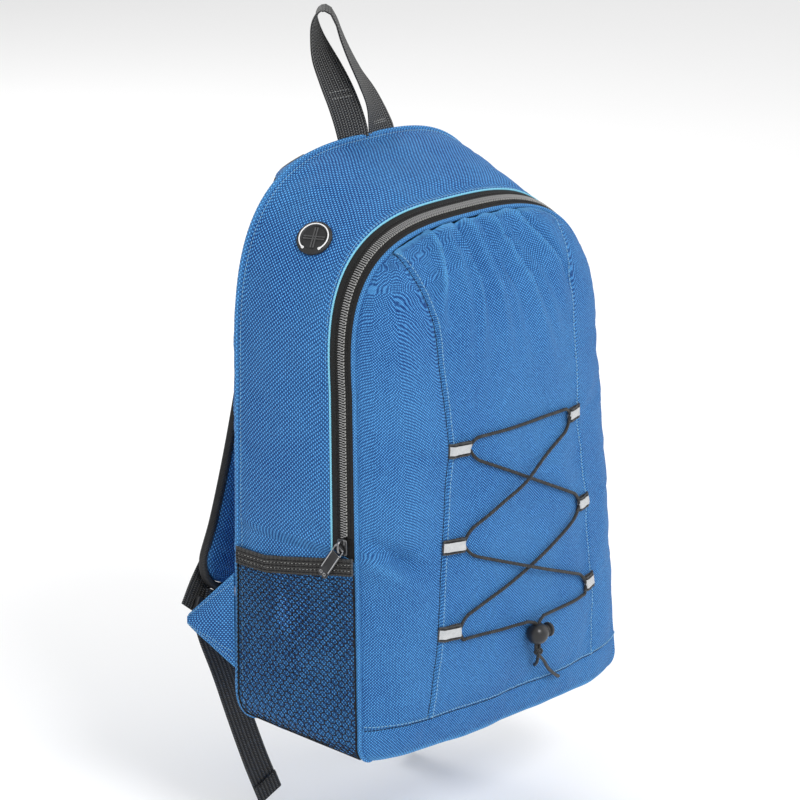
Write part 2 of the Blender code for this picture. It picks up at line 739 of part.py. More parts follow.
# ---- webbing and straps -------------------------------------------------------------
def make_haul_loop():
    """Webbing with both ends side by side in the top seam; it leans over to the left."""
    foot = Vector((0, BACK_Y + 0.001, BACK_HEIGHT + 0.0022))
    rows = []
    for i, (x, z) in enumerate(HAUL_LINE):
        side = -1 if i < 5 else 1
        flat = max(0.0, 1 - z / HAUL_TWIST_HEIGHT)
        wide = Vector((side * math.sin(flat * math.pi / 2), math.cos(flat * math.pi / 2), 0))
        centre = foot + Vector((x, 0, z))
        rows.append([centre + wide * WEBBING * share for share in (-0.48, 0, 0.48)])
    loop = sheet("haul_loop", rows, 0.0016, BLACK_CLOTH, offset=0.0)
    set_origin(loop, foot)


def mirrored(points, side):
    return [Vector((point.x * side, point.y, point.z)) for point in points]


def widths_across(line):
    """At each centre, the direction across the strap, kept out of the strap's curve."""
    found = []
    for i in range(len(line)):
        along = line[min(len(line) - 1, i + 1)] - line[max(0, i - 1)]
        found.append(Vector((along.z, 0, -along.x)).normalized())
    return found


def make_strap(prefix, side):
    """A padded strap with a rounded lower end, bound all round, and the lock it ends in.

    It returns the lock's centre.
    """
    line = mirrored(STRAP_LINE, side)
    across = widths_across(line)
    pad_half = STRAP_WIDTH / 2 - 0.0076
    rows = [[c + w * pad_half * s for s in (-1, -0.5, 0, 0.5, 1)] for c, w in zip(line, across)]
    end, end_wide = line[-1], across[-1]
    down = (line[-1] - line[-2]).normalized()
    for angle in (25, 50, 72):
        turn = math.radians(angle)
        centre = end + down * pad_half * math.sin(turn)
        half = pad_half * math.cos(turn)
        rows.append([centre + end_wide * half * s for s in (-1, -0.5, 0, 0.5, 1)])
    pad = sheet(prefix + "_strap_pad", rows, STRAP_THICK, BODY_CLOTH, offset=0.0)
    set_origin(pad, line[0])

    reach = pad_half + BINDING_RADIUS + 0.0006
    path = [c - w * reach for c, w in zip(line, across)]
    for angle in range(-70, 71, 20):
        turn = math.radians(angle)
        path.append(end + down * reach * math.cos(turn) + end_wide * reach * math.sin(turn))
    path += [c + w * reach for c, w in reversed(list(zip(line, across)))]
    binding = tube(prefix + "_strap_binding", path, BINDING_RADIUS, BLACK_CLOTH)
    set_origin(binding, line[0])

    tab_top = end + down * (reach + BINDING_RADIUS + 0.0005)
    tab = [tab_top, tab_top + down * 0.006]
    rows = [[c + end_wide * 0.0125 * s for s in (-1, 0, 1)] for c in tab]
    set_origin(sheet(prefix + "_buckle_tab", rows, 0.0022, BLACK_CLOTH, offset=0.0), line[0])

    lock_at = tab[-1] + down * 0.0125
    turn = Matrix((end_wide, Vector((0, 1, 0)), end_wide.cross(Vector((0, 1, 0)))))
    turn = turn.transposed().to_4x4()
    plate = box_mesh("plate", LADDER_LOCK, lock_at, turn)
    lock = add(prefix + "_ladder_lock", plate, MOULDED)
    for drop in (-0.0055, 0.0055):
        slot = box_mesh("slot", (0.0265, 0.02, 0.0048), lock_at + down * drop, turn)
        combine(lock, slot, "DIFFERENCE")
    set_origin(lock, line[0])
    return lock_at


def make_tail(prefix, side, lock_at):
    """The loose end of the adjuster webbing, hanging behind the bag from the ladder lock."""
    rows = []
    for i, (x, y, z) in enumerate(TAIL_LINE):
        centre = lock_at + Vector((x * side, y, z))
        after = TAIL_LINE[min(len(TAIL_LINE) - 1, i + 1)]
        before = TAIL_LINE[max(0, i - 1)]
        along = Vector(((after[0] - before[0]) * side, 0, after[2] - before[2])).normalized()
        wide = Vector((-along.z, 0, along.x))
        rows.append([centre + wide * WEBBING * s for s in (-0.42, 0, 0.42)])
    tail = sheet(prefix + "_webbing_tail", rows, 0.0015, BLACK_CLOTH, offset=0.0)
    set_origin(tail, lock_at + Vector((0, 0.0045, 0)))


def make_wing(prefix, side):
    """A cloth triangle in the rear side seam; its tip carries the adjuster webbing."""
    rear = BACK_Y + 0.0034
    seam = BASE_HALF_WIDTH - 0.002
    blunt = Vector((0, 0, 0.003))
    rows = []
    for share in spaced(0, 1, 5):
        low = Vector((seam, rear, WING_SEAM[0])).lerp(WING_TIP - blunt, share)
        high = Vector((seam, rear, WING_SEAM[1])).lerp(WING_TIP + blunt, share)
        rows.append(mirrored([low.lerp(high, s) for s in (0, 0.5, 1)], side))
    sheet(prefix + "_wing", rows, 0.0018, BODY_CLOTH, offset=0.0)
    wide = Vector((0.75, 0, 0.42)).normalized() * ADJUSTER_WIDTH
    rows = []
    for centre in ADJUSTER_LINE:
        rows.append(mirrored([centre + wide * s for s in (-0.5, 0, 0.5)], side))
    sheet(prefix + "_adjuster_webbing", rows, 0.0015, BLACK_CLOTH, offset=0.0)


def main():
    make_back()
    make_gusset()
    make_port()
    make_base()
    make_front()
    make_zip()
    make_slider()
    make_pull()
    for prefix, side in (("left", -1), ("right", 1)):
        make_pocket(prefix, side)
        for row in LOOP_HEIGHTS:
            make_cord_loop(prefix, side, row)
        make_tail(prefix, side, make_strap(prefix, side))
        make_wing(prefix, side)
    make_elastic_cord()
    make_cord_knot()
    make_cord_lock()
    make_haul_loop()


main()
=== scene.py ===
"""Looks of a daypack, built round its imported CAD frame.

Metres, +Z up; the laced front faces -Y and the wearer's back is at +Y. Places come from
the frame's nodes; the bag's curved surfaces follow the outline formulas of its CAD, with a
slightly squarer rear outline and tighter base corners, as the photo shows them.
"""
import json
import math

import bpy
import numpy as np
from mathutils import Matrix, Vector
from mathutils.bvhtree import BVHTree


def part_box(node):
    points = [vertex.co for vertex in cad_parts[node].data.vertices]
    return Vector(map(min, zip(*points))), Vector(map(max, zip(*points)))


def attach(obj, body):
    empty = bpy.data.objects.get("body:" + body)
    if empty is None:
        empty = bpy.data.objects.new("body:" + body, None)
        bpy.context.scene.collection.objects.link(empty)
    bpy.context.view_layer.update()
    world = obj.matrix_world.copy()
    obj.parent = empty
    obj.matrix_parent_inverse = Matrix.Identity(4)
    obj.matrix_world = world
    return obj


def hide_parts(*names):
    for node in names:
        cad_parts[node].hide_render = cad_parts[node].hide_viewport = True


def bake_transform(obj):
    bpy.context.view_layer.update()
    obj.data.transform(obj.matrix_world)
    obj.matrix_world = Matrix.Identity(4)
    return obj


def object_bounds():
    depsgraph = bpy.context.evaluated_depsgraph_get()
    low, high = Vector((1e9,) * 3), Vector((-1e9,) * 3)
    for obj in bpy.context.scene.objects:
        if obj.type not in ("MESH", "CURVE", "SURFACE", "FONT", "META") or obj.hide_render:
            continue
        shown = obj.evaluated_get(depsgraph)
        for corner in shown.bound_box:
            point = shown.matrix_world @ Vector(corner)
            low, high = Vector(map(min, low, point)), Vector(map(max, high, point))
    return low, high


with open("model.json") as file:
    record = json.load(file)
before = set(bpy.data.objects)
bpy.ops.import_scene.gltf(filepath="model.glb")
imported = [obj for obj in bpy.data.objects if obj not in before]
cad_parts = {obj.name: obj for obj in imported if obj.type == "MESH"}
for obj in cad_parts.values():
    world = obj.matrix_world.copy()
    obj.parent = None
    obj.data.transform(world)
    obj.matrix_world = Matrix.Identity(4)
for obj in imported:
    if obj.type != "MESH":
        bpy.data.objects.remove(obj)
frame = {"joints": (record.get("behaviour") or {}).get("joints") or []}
CAD_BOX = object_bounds()


def low(node):
    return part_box(node)[0]


def high(node):
    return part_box(node)[1]


def middle(node):
    return (low(node) + high(node)) / 2


# ---- sizes: shape constants, and places read from the frame ---------------------------
GAP = 0.0004
CLOTH = 0.0012
STRAIGHT_TOP = 0.28
FRONT_HALF_WIDTH = 0.136
FRONT_ROUNDNESS = 3.0
BACK_ROUNDNESS = 3.0
FRONT_CORNER = 0.012
BACK_CORNER = 0.028
FRONT_LEAN = 0.06
BULGE_FULL = 0.042
BULGE_LOST_AT_BASE = 0.024
BULGE_RISE = 0.045
BULGE_EDGE = 0.984
SEAM_HEIGHTS = (0.0, 0.03, 0.094, 0.162, 0.235, 0.335, 0.394)
SEAM_OFFSETS = (0.099, 0.097, 0.090, 0.083, 0.074, 0.080, 0.091)

BACK_Y = low("back_panel").y - GAP
BACK_FACE_Y = high("back_panel").y
BACK_HEIGHT = high("back_panel").z
BACK_HALF_WIDTH = high("back_panel").x - 0.005
BASE_HALF_WIDTH = high("base_panel").x + 0.021
HEM_Z = low("front_lower_centre").z - GAP / 2
FRONT_TOP = high("front_flap_centre").z
FRONT_HEIGHT = FRONT_TOP + 0.0022
SHOULDER_Z = high("front_flap_left").z
FRONT_EDGE_Y = high("front_base_band").y - FRONT_LEAN * HEM_Z
DEPTH = BACK_Y - FRONT_EDGE_Y
ZIP_BAND = 0.024
ZIP_MIDDLE = ZIP_BAND / 2
ZIP_FOOT_Z = low("zip_coil_outer").z
POCKET_FRONT_Z = high("left_pocket_elastic").z
POCKET_REAR_Z = high("left_mesh_pocket").z
ELASTIC_WIDTH = 0.0125
SIDE_PUFF = 0.0040
TOP_PUFF = 0.0016
JOINTS = {joint["name"]: joint for joint in frame["joints"]}
FLAP_AXIS = JOINTS["front_flap_open"]["pos_m"]
BEND_START = Vector((0, FLAP_AXIS[1], FLAP_AXIS[2] - 0.013))
BEND_END = Vector((0, FLAP_AXIS[1], FLAP_AXIS[2] + 0.045))
SIDES = (("left", -1), ("right", 1))
PORT_DEPTH, PORT_STATION = 0.5, 1.48  # the cable port, on the side's own two directions
SETTLE_FRAMES = 16


# ---- small tools --------------------------------------------------------------------
def arr(value):
    return np.asarray(value, float)


def unit(vectors):
    length = np.linalg.norm(vectors, axis=-1, keepdims=True)
    return vectors / np.maximum(length, 1e-12)


def stack(*parts):
    return np.stack(np.broadcast_arrays(*[arr(part) for part in parts]), -1)


def smooth_step(low_edge, high_edge, value):
    share = np.clip((arr(value) - low_edge) / (high_edge - low_edge), 0, 1)
    return share * share * (3 - 2 * share)


def run_length(points):
    """Distance along a line of points, from its first."""
    steps = np.linalg.norm(np.diff(points, axis=0), axis=-1)
    return np.concatenate([[0], np.cumsum(steps)])


def resample(points, count):
    """The same line, with this many evenly spaced points."""
    run = run_length(points)
    at = np.linspace(0, run[-1], count)
    return np.stack([np.interp(at, run, points[:, k]) for k in range(points.shape[1])], -1)


def curve_through(points, count):
    """A smooth (Catmull-Rom) line through the points, evenly spaced."""
    points = arr(points)
    ends = np.concatenate([[2 * points[0] - points[1]], points, [2 * points[-1] - points[-2]]])
    share = np.linspace(0, 1, 24, endpoint=False)[:, None]
    pieces = []
    for a, b, c, d in zip(ends, ends[1:], ends[2:], ends[3:]):
        pieces.append(0.5 * (2 * b + (c - a) * share + (2 * a - 5 * b + 4 * c - d) * share**2
                             + (3 * b - a - 3 * c + d) * share**3))
    pieces.append(points[-1:])
    return resample(np.concatenate(pieces), count)


def transport(path, hint):
    """Two directions across a line that don't twist along it, the first near the hint."""
    along = unit(np.gradient(path, axis=0))
    first = np.zeros_like(path)
    across = arr(hint) - along[0] * np.dot(along[0], hint)
    for i, direction in enumerate(along):
        across = across - direction * np.dot(direction, across)
        across = across / np.linalg.norm(across)
        first[i] = across
    return first, np.cross(along, first)


def surface_normals(points):
    """Normals of a grid of points: its row direction crossed with its column direction."""
    return unit(np.cross(np.gradient(points, axis=0), np.gradient(points, axis=1)))


def metric(points):
    """Texture coordinates of a grid, in metres along its rows and columns."""
    across = np.linalg.norm(np.diff(points, axis=1), axis=-1)
    along = np.linalg.norm(np.diff(points, axis=0), axis=-1)
    u = np.concatenate([np.zeros((len(points), 1)), np.cumsum(across, 1)], 1)
    v = np.concatenate([np.zeros((1, points.shape[1])), np.cumsum(along, 0)], 0)
    centre = points.shape[1] // 2
    return np.stack([u - u[:, centre:centre + 1], v], -1)


class Maker:
    """Collects grids, sheets, tubes and threads, with texture coordinates in metres."""

    def __init__(self):
        self.points = []
        self.faces = []
        self.corners = []
        self.slots = []
        self.count = 0

    def put(self, points):
        points = arr(points)
        index = self.count + np.arange(points[..., 0].size).reshape(points.shape[:-1])
        self.points.append(points.reshape(-1, 3))
        self.count += index.size
        return index

    def quads(self, index, uv, slot=0, flip=False):
        """Faces over a grid of point numbers, with one texture coordinate for each."""
        def corners(grid):
            parts = [grid[:-1, :-1], grid[:-1, 1:], grid[1:, 1:], grid[1:, :-1]]
            return np.stack(parts, 2).reshape(-1, 4, *grid.shape[2:])

        faces, uvs = corners(index), corners(arr(uv))
        if flip:
            faces, uvs = faces[:, ::-1], uvs[:, ::-1]
        self.faces.append(faces)
        self.corners.append(uvs)
        self.slots.append(np.full(len(faces), slot))

    def grid(self, points):
        self.quads(self.put(points), metric(points))

    def sheet(self, points, thickness, slot=0, lining=None, uv=None, flip=False):
        """Cloth: a grid, its back this far behind it, and the cut edges between them."""
        uv = metric(points) if uv is None else uv
        normal = surface_normals(points) * (1 if flip else -1)
        outer = self.put(points)
        inner = self.put(points - normal * thickness)
        self.quads(outer, uv, slot, flip)
        self.quads(inner, uv, slot if lining is None else lining, not flip)
        for edge in (np.s_[0], np.s_[:, -1], np.s_[-1, ::-1], np.s_[::-1, 0]):
            rim = np.stack([outer[edge], inner[edge]])
            self.quads(rim, np.stack([uv[edge], uv[edge] + thickness]), slot, not flip)

    def loft(self, rings, uv=None, slot=0, caps=True):
        """A skin over closed rings of points, with its ends closed."""
        rings = arr(rings)
        count, sides = rings.shape[:2]
        index = self.put(rings)
        wrapped = np.concatenate([index, index[:, :1]], 1)
        if uv is None:
            around = run_length(np.concatenate([rings[count // 2], rings[count // 2][:1]]))
            along = run_length(rings.mean(1))
            uv = stack(around[None, :], along[:, None])
        self.quads(wrapped, uv, slot)
        if caps:
            for ring, flip in ((0, False), (count - 1, True)):
                hub = self.put(rings[ring].mean(0)[None])[0]
                fan = np.stack([wrapped[ring], np.full(sides + 1, hub)])
                self.quads(fan, np.stack([uv[ring], uv[ring]]), slot, not flip)

    def tube(self, path, radius, sides=10, slot=0, hint=(0.1, 0.2, 1), flat=1.0, caps=True):
        """A cord along the path; flat squeezes its section across the hint."""
        path = arr(path)
        first, second = transport(path, hint)
        angle = np.linspace(0, 2 * math.pi, sides, endpoint=False)[:, None]
        radius = np.broadcast_to(arr(radius), (len(path),))[:, None, None]
        ring = first[:, None] * np.cos(angle) + second[:, None] * np.sin(angle) * flat
        self.loft(path[:, None] + ring * radius, slot=slot, caps=caps)

    def threads(self, curves, normals, radius, slot=0, sides=5):
        """Many short threads at once: curves has the shape (count, points, 3)."""
        curves = arr(curves)
        count, steps = curves.shape[:2]
        if not count:
            return
        along = unit(np.gradient(curves, axis=1))
        normals = np.broadcast_to(arr(normals)[:, None], curves.shape)
        side = unit(np.cross(along, normals))
        rise = np.cross(along, side)
        angle = np.linspace(0, 2 * math.pi, sides, endpoint=False)[:, None]
        ring = side[..., None, :] * np.cos(angle) + rise[..., None, :] * np.sin(angle)
        radii = np.broadcast_to(arr(radius), (steps,))[:, None, None]
        index = self.put(curves[..., None, :] + ring * radii)
        wrapped = np.concatenate([index, index[:, :, :1]], 2)
        lengthwise = np.arange(steps) * np.linalg.norm(curves[0, 1] - curves[0, 0])
        uv = stack(np.arange(sides + 1)[None, :] * 0.0005, lengthwise[:, None])
        a, b = wrapped[:, :-1, :-1], wrapped[:, :-1, 1:]
        c, d = wrapped[:, 1:, 1:], wrapped[:, 1:, :-1]
        faces = np.stack([a, b, c, d], -1).reshape(-1, 4)
        cell = np.stack([uv[:-1, :-1], uv[:-1, 1:], uv[1:, 1:], uv[1:, :-1]], 2)
        self.faces.append(faces)
        self.corners.append(np.tile(cell.reshape(-1, 4, 2), (count, 1, 1)))
        self.slots.append(np.full(len(faces), slot))
        for end, order in ((0, (3, 2, 1, 0)), (-1, (0, 1, 2, 3))):
            hub = self.put(curves[:, end])
            for k in range(0, sides, 2):
                last = min(k + 2, sides)
                ends = [index[:, end, k], index[:, end, (k + 1) % sides],
                        index[:, end, last % sides], hub]
                if last == k + 1:
                    ends[2] = ends[1]
                quad = np.stack([ends[i] for i in order], -1)
                self.faces.append(quad)
                self.corners.append(np.zeros((count, 4, 2)))
                self.slots.append(np.full(count, slot))

    def build(self, name, *finishes, crease=50):
        """The object, with these materials by slot number."""
        points = np.concatenate(self.points)
        faces = np.concatenate(self.faces).astype(int)
        corners = np.concatenate(self.corners)
        slots = np.concatenate(self.slots)
        whole = np.ones((len(faces), 4), bool)
        for k in range(4):
            whole[:, k] = faces[:, k] != faces[:, (k + 1) % 4]
        sizes = whole.sum(1)
        keep = sizes >= 3
        faces, corners, slots, whole, sizes = (
            part[keep] for part in (faces, corners, slots, whole, sizes))
        mesh = bpy.data.meshes.new(name)
        mesh.vertices.add(len(points))
        mesh.vertices.foreach_set("co", points.ravel())
        mesh.loops.add(int(sizes.sum()))
        mesh.loops.foreach_set("vertex_index", faces[whole])
        mesh.polygons.add(len(faces))
        mesh.polygons.foreach_set("loop_start", np.concatenate([[0], np.cumsum(sizes)[:-1]]))
        mesh.polygons.foreach_set("material_index", slots)
        mesh.polygons.foreach_set("use_smooth", np.ones(len(faces), bool))
        layer = mesh.uv_layers.new(name="metres")
        mesh.update(calc_edges=True)
        layer.data.foreach_set("uv", corners[whole].ravel())
        mesh.set_sharp_from_angle(angle=math.radians(crease))
        mesh.validate()
        made = bpy.data.objects.new(name, mesh)
        bpy.context.scene.collection.objects.link(made)
        for finish in finishes:
            mesh.materials.append(finish)
        return made


def place(piece, body, nodes=(), slot=None):
    """The piece rides on the body and stands for the nodes; slot is not used."""
    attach(piece, body)
    return claim(piece, nodes, slot)


def stretch(piece, first, second, start, end, nodes=(), slot=None):
    """The piece keeps its place, baked into its mesh, and stands for the nodes; first and second are not
    used.
    """
    tuple(start)
    tuple(end)
    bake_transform(piece)
    return claim(piece, nodes, slot)


def bend(piece, nodes=(), slot=None):
    """The piece, on the front that opens and folds down, is baked in place and stands for the nodes."""
    return stretch(piece, "shell", "front_flap", BEND_START, BEND_END, nodes, slot)


def claim(piece, nodes, slot):
    if nodes:
        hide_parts(*nodes)
    return piece


# Stitches: how far apart they start, how long each one is, and the thread's radius.
TOPSTITCH = (0.0032, 0.0024, 0.00034)
SEAM_STITCH = (0.0030, 0.0028, 0.00050)
ZIP_EDGE_STITCH = (0.0032, 0.0024, 0.00030)
REAR_SEAM_STITCH = (0.0034, 0.0025, 0.00030)
CHANNEL_STITCH = (0.0034, 0.0026, 0.00035)
COIL_STITCH = (0.0027, 0.0014, 0.00050)
TAPE_STITCH = (0.0026, 0.0021, 0.00028)
ELASTIC_STITCH = (0.0037, 0.0019, 0.00022)
LOOP_STITCH = (0.0024, 0.0017, 0.00018)
WEBBING_STITCH = (0.0028, 0.0021, 0.00026)
BINDING_STITCH = (0.0032, 0.0024, 0.00028)
FINE_STITCH = (0.0030, 0.0022, 0.00028)


def stitch_row(maker, path, normals, pitch, length, radius, slot=0, sunk=0.0002):
    """A row of stitches along a line: each one rises from the cloth and dips back into it."""
    run = run_length(path)
    starts = np.arange(pitch / 2, run[-1] - length, pitch)
    shares = arr([0, 0.22, 0.5, 0.78, 1])
    at = starts[:, None] + shares * length
    curves = np.stack([np.interp(at, run, path[:, k]) for k in range(3)], -1)
    ups = unit(np.stack([np.interp(starts, run, normals[:, k]) for k in range(3)], -1))
    lift = arr([-1, 0.55, 0.75, 0.55, -1]) * radius - sunk * arr([1, 0, 0, 0, 1])
    maker.threads(curves + ups[:, None] * lift[:, None], ups, radius * arr([0.7, 1, 1, 1, 0.7]), slot)


# ---- the bag's surfaces ------------------------------------------------------------------
def arch_table(half_width, height, roundness):
    """Points up the left half of an arch, by their share of its length."""
    angle = np.linspace(0, math.pi / 2, 400)
    x = -half_width * np.cos(angle) ** (2 / roundness)
    z = STRAIGHT_TOP + (height - STRAIGHT_TOP) * np.sin(angle) ** (2 / roundness)
    run = run_length(stack(x, z))
    return run / run[-1], x, z


FRONT_ARCH = arch_table(FRONT_HALF_WIDTH, FRONT_HEIGHT, FRONT_ROUNDNESS)
BACK_ARCH = arch_table(BACK_HALF_WIDTH, BACK_HEIGHT, BACK_ROUNDNESS)


def front_edge_y(z):
    return FRONT_EDGE_Y + FRONT_LEAN * z


def edge_points(level, top_half_width, corner, arch):
    """(x, z) up the left edge: level -1 to 0 is the base corner, to 1 the side, to 2 the arch."""
    angle = (np.clip(level, -1, 0) + 1) * math.pi / 2
    corner_x = -(BASE_HALF_WIDTH - corner + corner * np.sin(angle))
    side = np.clip(level, 0, 1)
    side_x = -(BASE_HALF_WIDTH + (top_half_width - BASE_HALF_WIDTH) * side)
    run, arch_x, arch_z = arch
    x = np.where(level < 0, corner_x, np.where(level < 1, side_x, np.interp(level - 1, run, arch_x)))
    z = np.where(level < 0, corner - corner * np.cos(angle), corner + (STRAIGHT_TOP - corner) * side)
    return x, np.where(level < 1, z, np.interp(level - 1, run, arch_z))


def side_flat(station, depth):
    """The wrapped side and top before it puffs: station -1 at the left base, 2 at the crown
    and 5 at the right base; depth 0 at the front edge and 1 at the back."""
    station, depth = np.broadcast_arrays(arr(station), arr(depth))
    level = np.where(station <= 2, station, 4 - station)
    side = np.where(station <= 2, 1, -1)
    fx, fz = edge_points(level, FRONT_HALF_WIDTH, FRONT_CORNER, FRONT_ARCH)
    bx, bz = edge_points(level, BACK_HALF_WIDTH, BACK_CORNER, BACK_ARCH)
    front = stack(side * fx, front_edge_y(fz), fz)
    back = stack(side * bx, BACK_Y, bz)
    return front + (back - front) * depth[..., None]


def side_puff(station, depth):
    """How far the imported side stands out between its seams."""
    level = np.where(arr(station) <= 2, station, 4 - arr(station))
    inside = np.clip((arr(depth) - ZIP_BAND / DEPTH) / (1 - ZIP_BAND / DEPTH), 0, 1)
    rise = smooth_step(-0.6, 0.35, level)
    full = SIDE_PUFF + (TOP_PUFF - SIDE_PUFF) * smooth_step(0.8, 1.5, level)
    return full * rise * (4 * inside * (1 - inside)) ** 0.8


def side_out(station, depth):
    """Outward normals of the wrapped side."""
    step = 0.01
    along = side_flat(station + step, depth) - side_flat(station - step, depth)
    across = side_flat(station, depth + step) - side_flat(station, depth - step)
    return unit(np.cross(along, across))


def on_side(station, depth, lift=0.0):
    """Points this far off the puffed side."""
    station, depth = arr(station), arr(depth)
    rise = side_puff(station, depth) + lift
    return side_flat(station, depth) + side_out(station, depth) * arr(rise)[..., None]


def station_at(z, depth):
    """The left side's station at this height."""
    stations = np.linspace(0, 1, 2)
    heights = side_flat(stations, depth)[..., 2]
    return float(np.interp(z, heights, stations))


def mirrored_station(station, side):
    return station if side < 0 else 4 - station


def half_width(z):
    """Half the front outline's width."""
    z = arr(z)
    drop = np.clip(FRONT_CORNER - z, 0, FRONT_CORNER)
    corner = BASE_HALF_WIDTH - FRONT_CORNER + np.sqrt(FRONT_CORNER**2 - drop**2)
    level = (z - FRONT_CORNER) / (STRAIGHT_TOP - FRONT_CORNER)
    straight = BASE_HALF_WIDTH + (FRONT_HALF_WIDTH - BASE_HALF_WIDTH) * level
    rise = np.clip((z - STRAIGHT_TOP) / (FRONT_HEIGHT - STRAIGHT_TOP), 0, 1)
    arch = FRONT_HALF_WIDTH * (1 - rise**FRONT_ROUNDNESS) ** (1 / FRONT_ROUNDNESS)
    return np.where(z < FRONT_CORNER, corner, np.where(z < STRAIGHT_TOP, straight, arch))


def outline_share(x, z):
    """0 on the centre line, 1 on the front outline."""
    rise = np.clip((z - STRAIGHT_TOP) / (FRONT_HEIGHT - STRAIGHT_TOP), 0, None)
    wide = np.abs(x) / FRONT_HALF_WIDTH
    arch = (wide**FRONT_ROUNDNESS + rise**FRONT_ROUNDNESS) ** (1 / FRONT_ROUNDNESS)
    return np.where(z <= STRAIGHT_TOP, np.abs(x) / np.maximum(half_width(z), 0.01), arch)


def front_y(x, z):
    share = np.clip(outline_share(x, z) / BULGE_EDGE, 0, 1)
    full = BULGE_FULL - BULGE_LOST_AT_BASE * np.exp(-arr(z) / BULGE_RISE)
    return front_edge_y(z) - full * (1 - share**2.4) ** 0.57


def front_out(x, z):
    step = 0.002
    slope_x = (front_y(x + step, z) - front_y(x - step, z)) / (2 * step)
    slope_z = (front_y(x, z + step) - front_y(x, z - step)) / (2 * step)
    return unit(stack(slope_x, -1.0, slope_z))


def on_front(x, z, lift=0.0):
    """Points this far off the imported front."""
    x, z = arr(x), arr(z)
    return stack(x, front_y(x, z), z) + front_out(x, z) * arr(lift)[..., None]


def seam_x(z):
    """How far the front's seams are from its centre line, as a smooth curve."""
    fine = np.linspace(SEAM_HEIGHTS[0], SEAM_HEIGHTS[-1], 60)
    offsets = np.interp(fine, SEAM_HEIGHTS, SEAM_OFFSETS)
    return np.interp(z, fine, offsets)


def zip_line(foot, distance, lift=0.0):
    """A line along the zip, this far behind the front edge, from the left foot to the right."""
    stations = np.linspace(foot, 4 - foot, 420)
    flat = side_flat(stations, distance / DEPTH)
    out = side_out(stations, distance / DEPTH)
    return flat + out * lift, out


# ---- cloth simulation -------------------------------------------------------------------
STIFFNESS = 8.0


def settle(points, pins, pressure, swell, cap, flip=False, wrapped=False):
    """Lets a grid of cloth puff and buckle between its seams, and returns where it comes to rest.

    Pins is 1 where a seam holds the cloth and 0 where it is free. Swell is how much cloth
    there is to spare, and cap the furthest any point may move.
    """
    rows, columns = points.shape[:2]
    maker = Maker()
    index = maker.put(points)
    if wrapped:
        index = np.concatenate([index, index[:, :1]], 1)
    maker.quads(index, np.zeros((*index.shape, 2)), 0, flip)
    cloth = maker.build("cloth_at_work")
    hold = cloth.vertex_groups.new(name="hold")
    for number, weight in enumerate(pins.ravel()):
        hold.add([number], float(weight), "REPLACE")
    step = cloth.modifiers.new("drape", "CLOTH")
    step.settings.quality = 6
    step.settings.mass = 0.15
    step.settings.tension_stiffness = STIFFNESS
    step.settings.compression_stiffness = STIFFNESS
    step.settings.shear_stiffness = STIFFNESS / 2
    step.settings.bending_stiffness = 0.4
    step.settings.vertex_group_mass = "hold"
    step.settings.use_pressure = True
    step.settings.uniform_pressure_force = pressure
    step.settings.shrink_min = -swell
    step.settings.effector_weights.gravity = 0
    step.collision_settings.use_collision = False
    for number in range(1, SETTLE_FRAMES + 1):
        bpy.context.scene.frame_set(number)
    graph = bpy.context.evaluated_depsgraph_get()
    settled = np.zeros(rows * columns * 3)
    cloth.evaluated_get(graph).data.vertices.foreach_get("co", settled)
    bpy.data.objects.remove(cloth)
    bpy.context.scene.frame_set(1)
    moved = settled.reshape(points.shape) - points
    reach = np.linalg.norm(moved, axis=-1, keepdims=True)
    limit = cap * np.tanh(reach / cap) / np.maximum(reach, 1e-9)
    return points + moved * limit * (1 - pins[..., None])


def waves(u, v, seed, length, count=5, spread=1.0):
    """Gentle ripples of about this wavelength, from -1 to 1, the same on every run."""
    random = np.random.default_rng(seed)
    total = 0
    for _ in range(count):
        angle = random.uniform(-math.pi, math.pi) * spread
        size = length * random.uniform(0.7, 1.5)
        phase = random.uniform(0, 2 * math.pi)
        total = total + np.sin(2 * math.pi * (u * math.cos(angle) + v * math.sin(angle)) / size + phase)
    return total / count


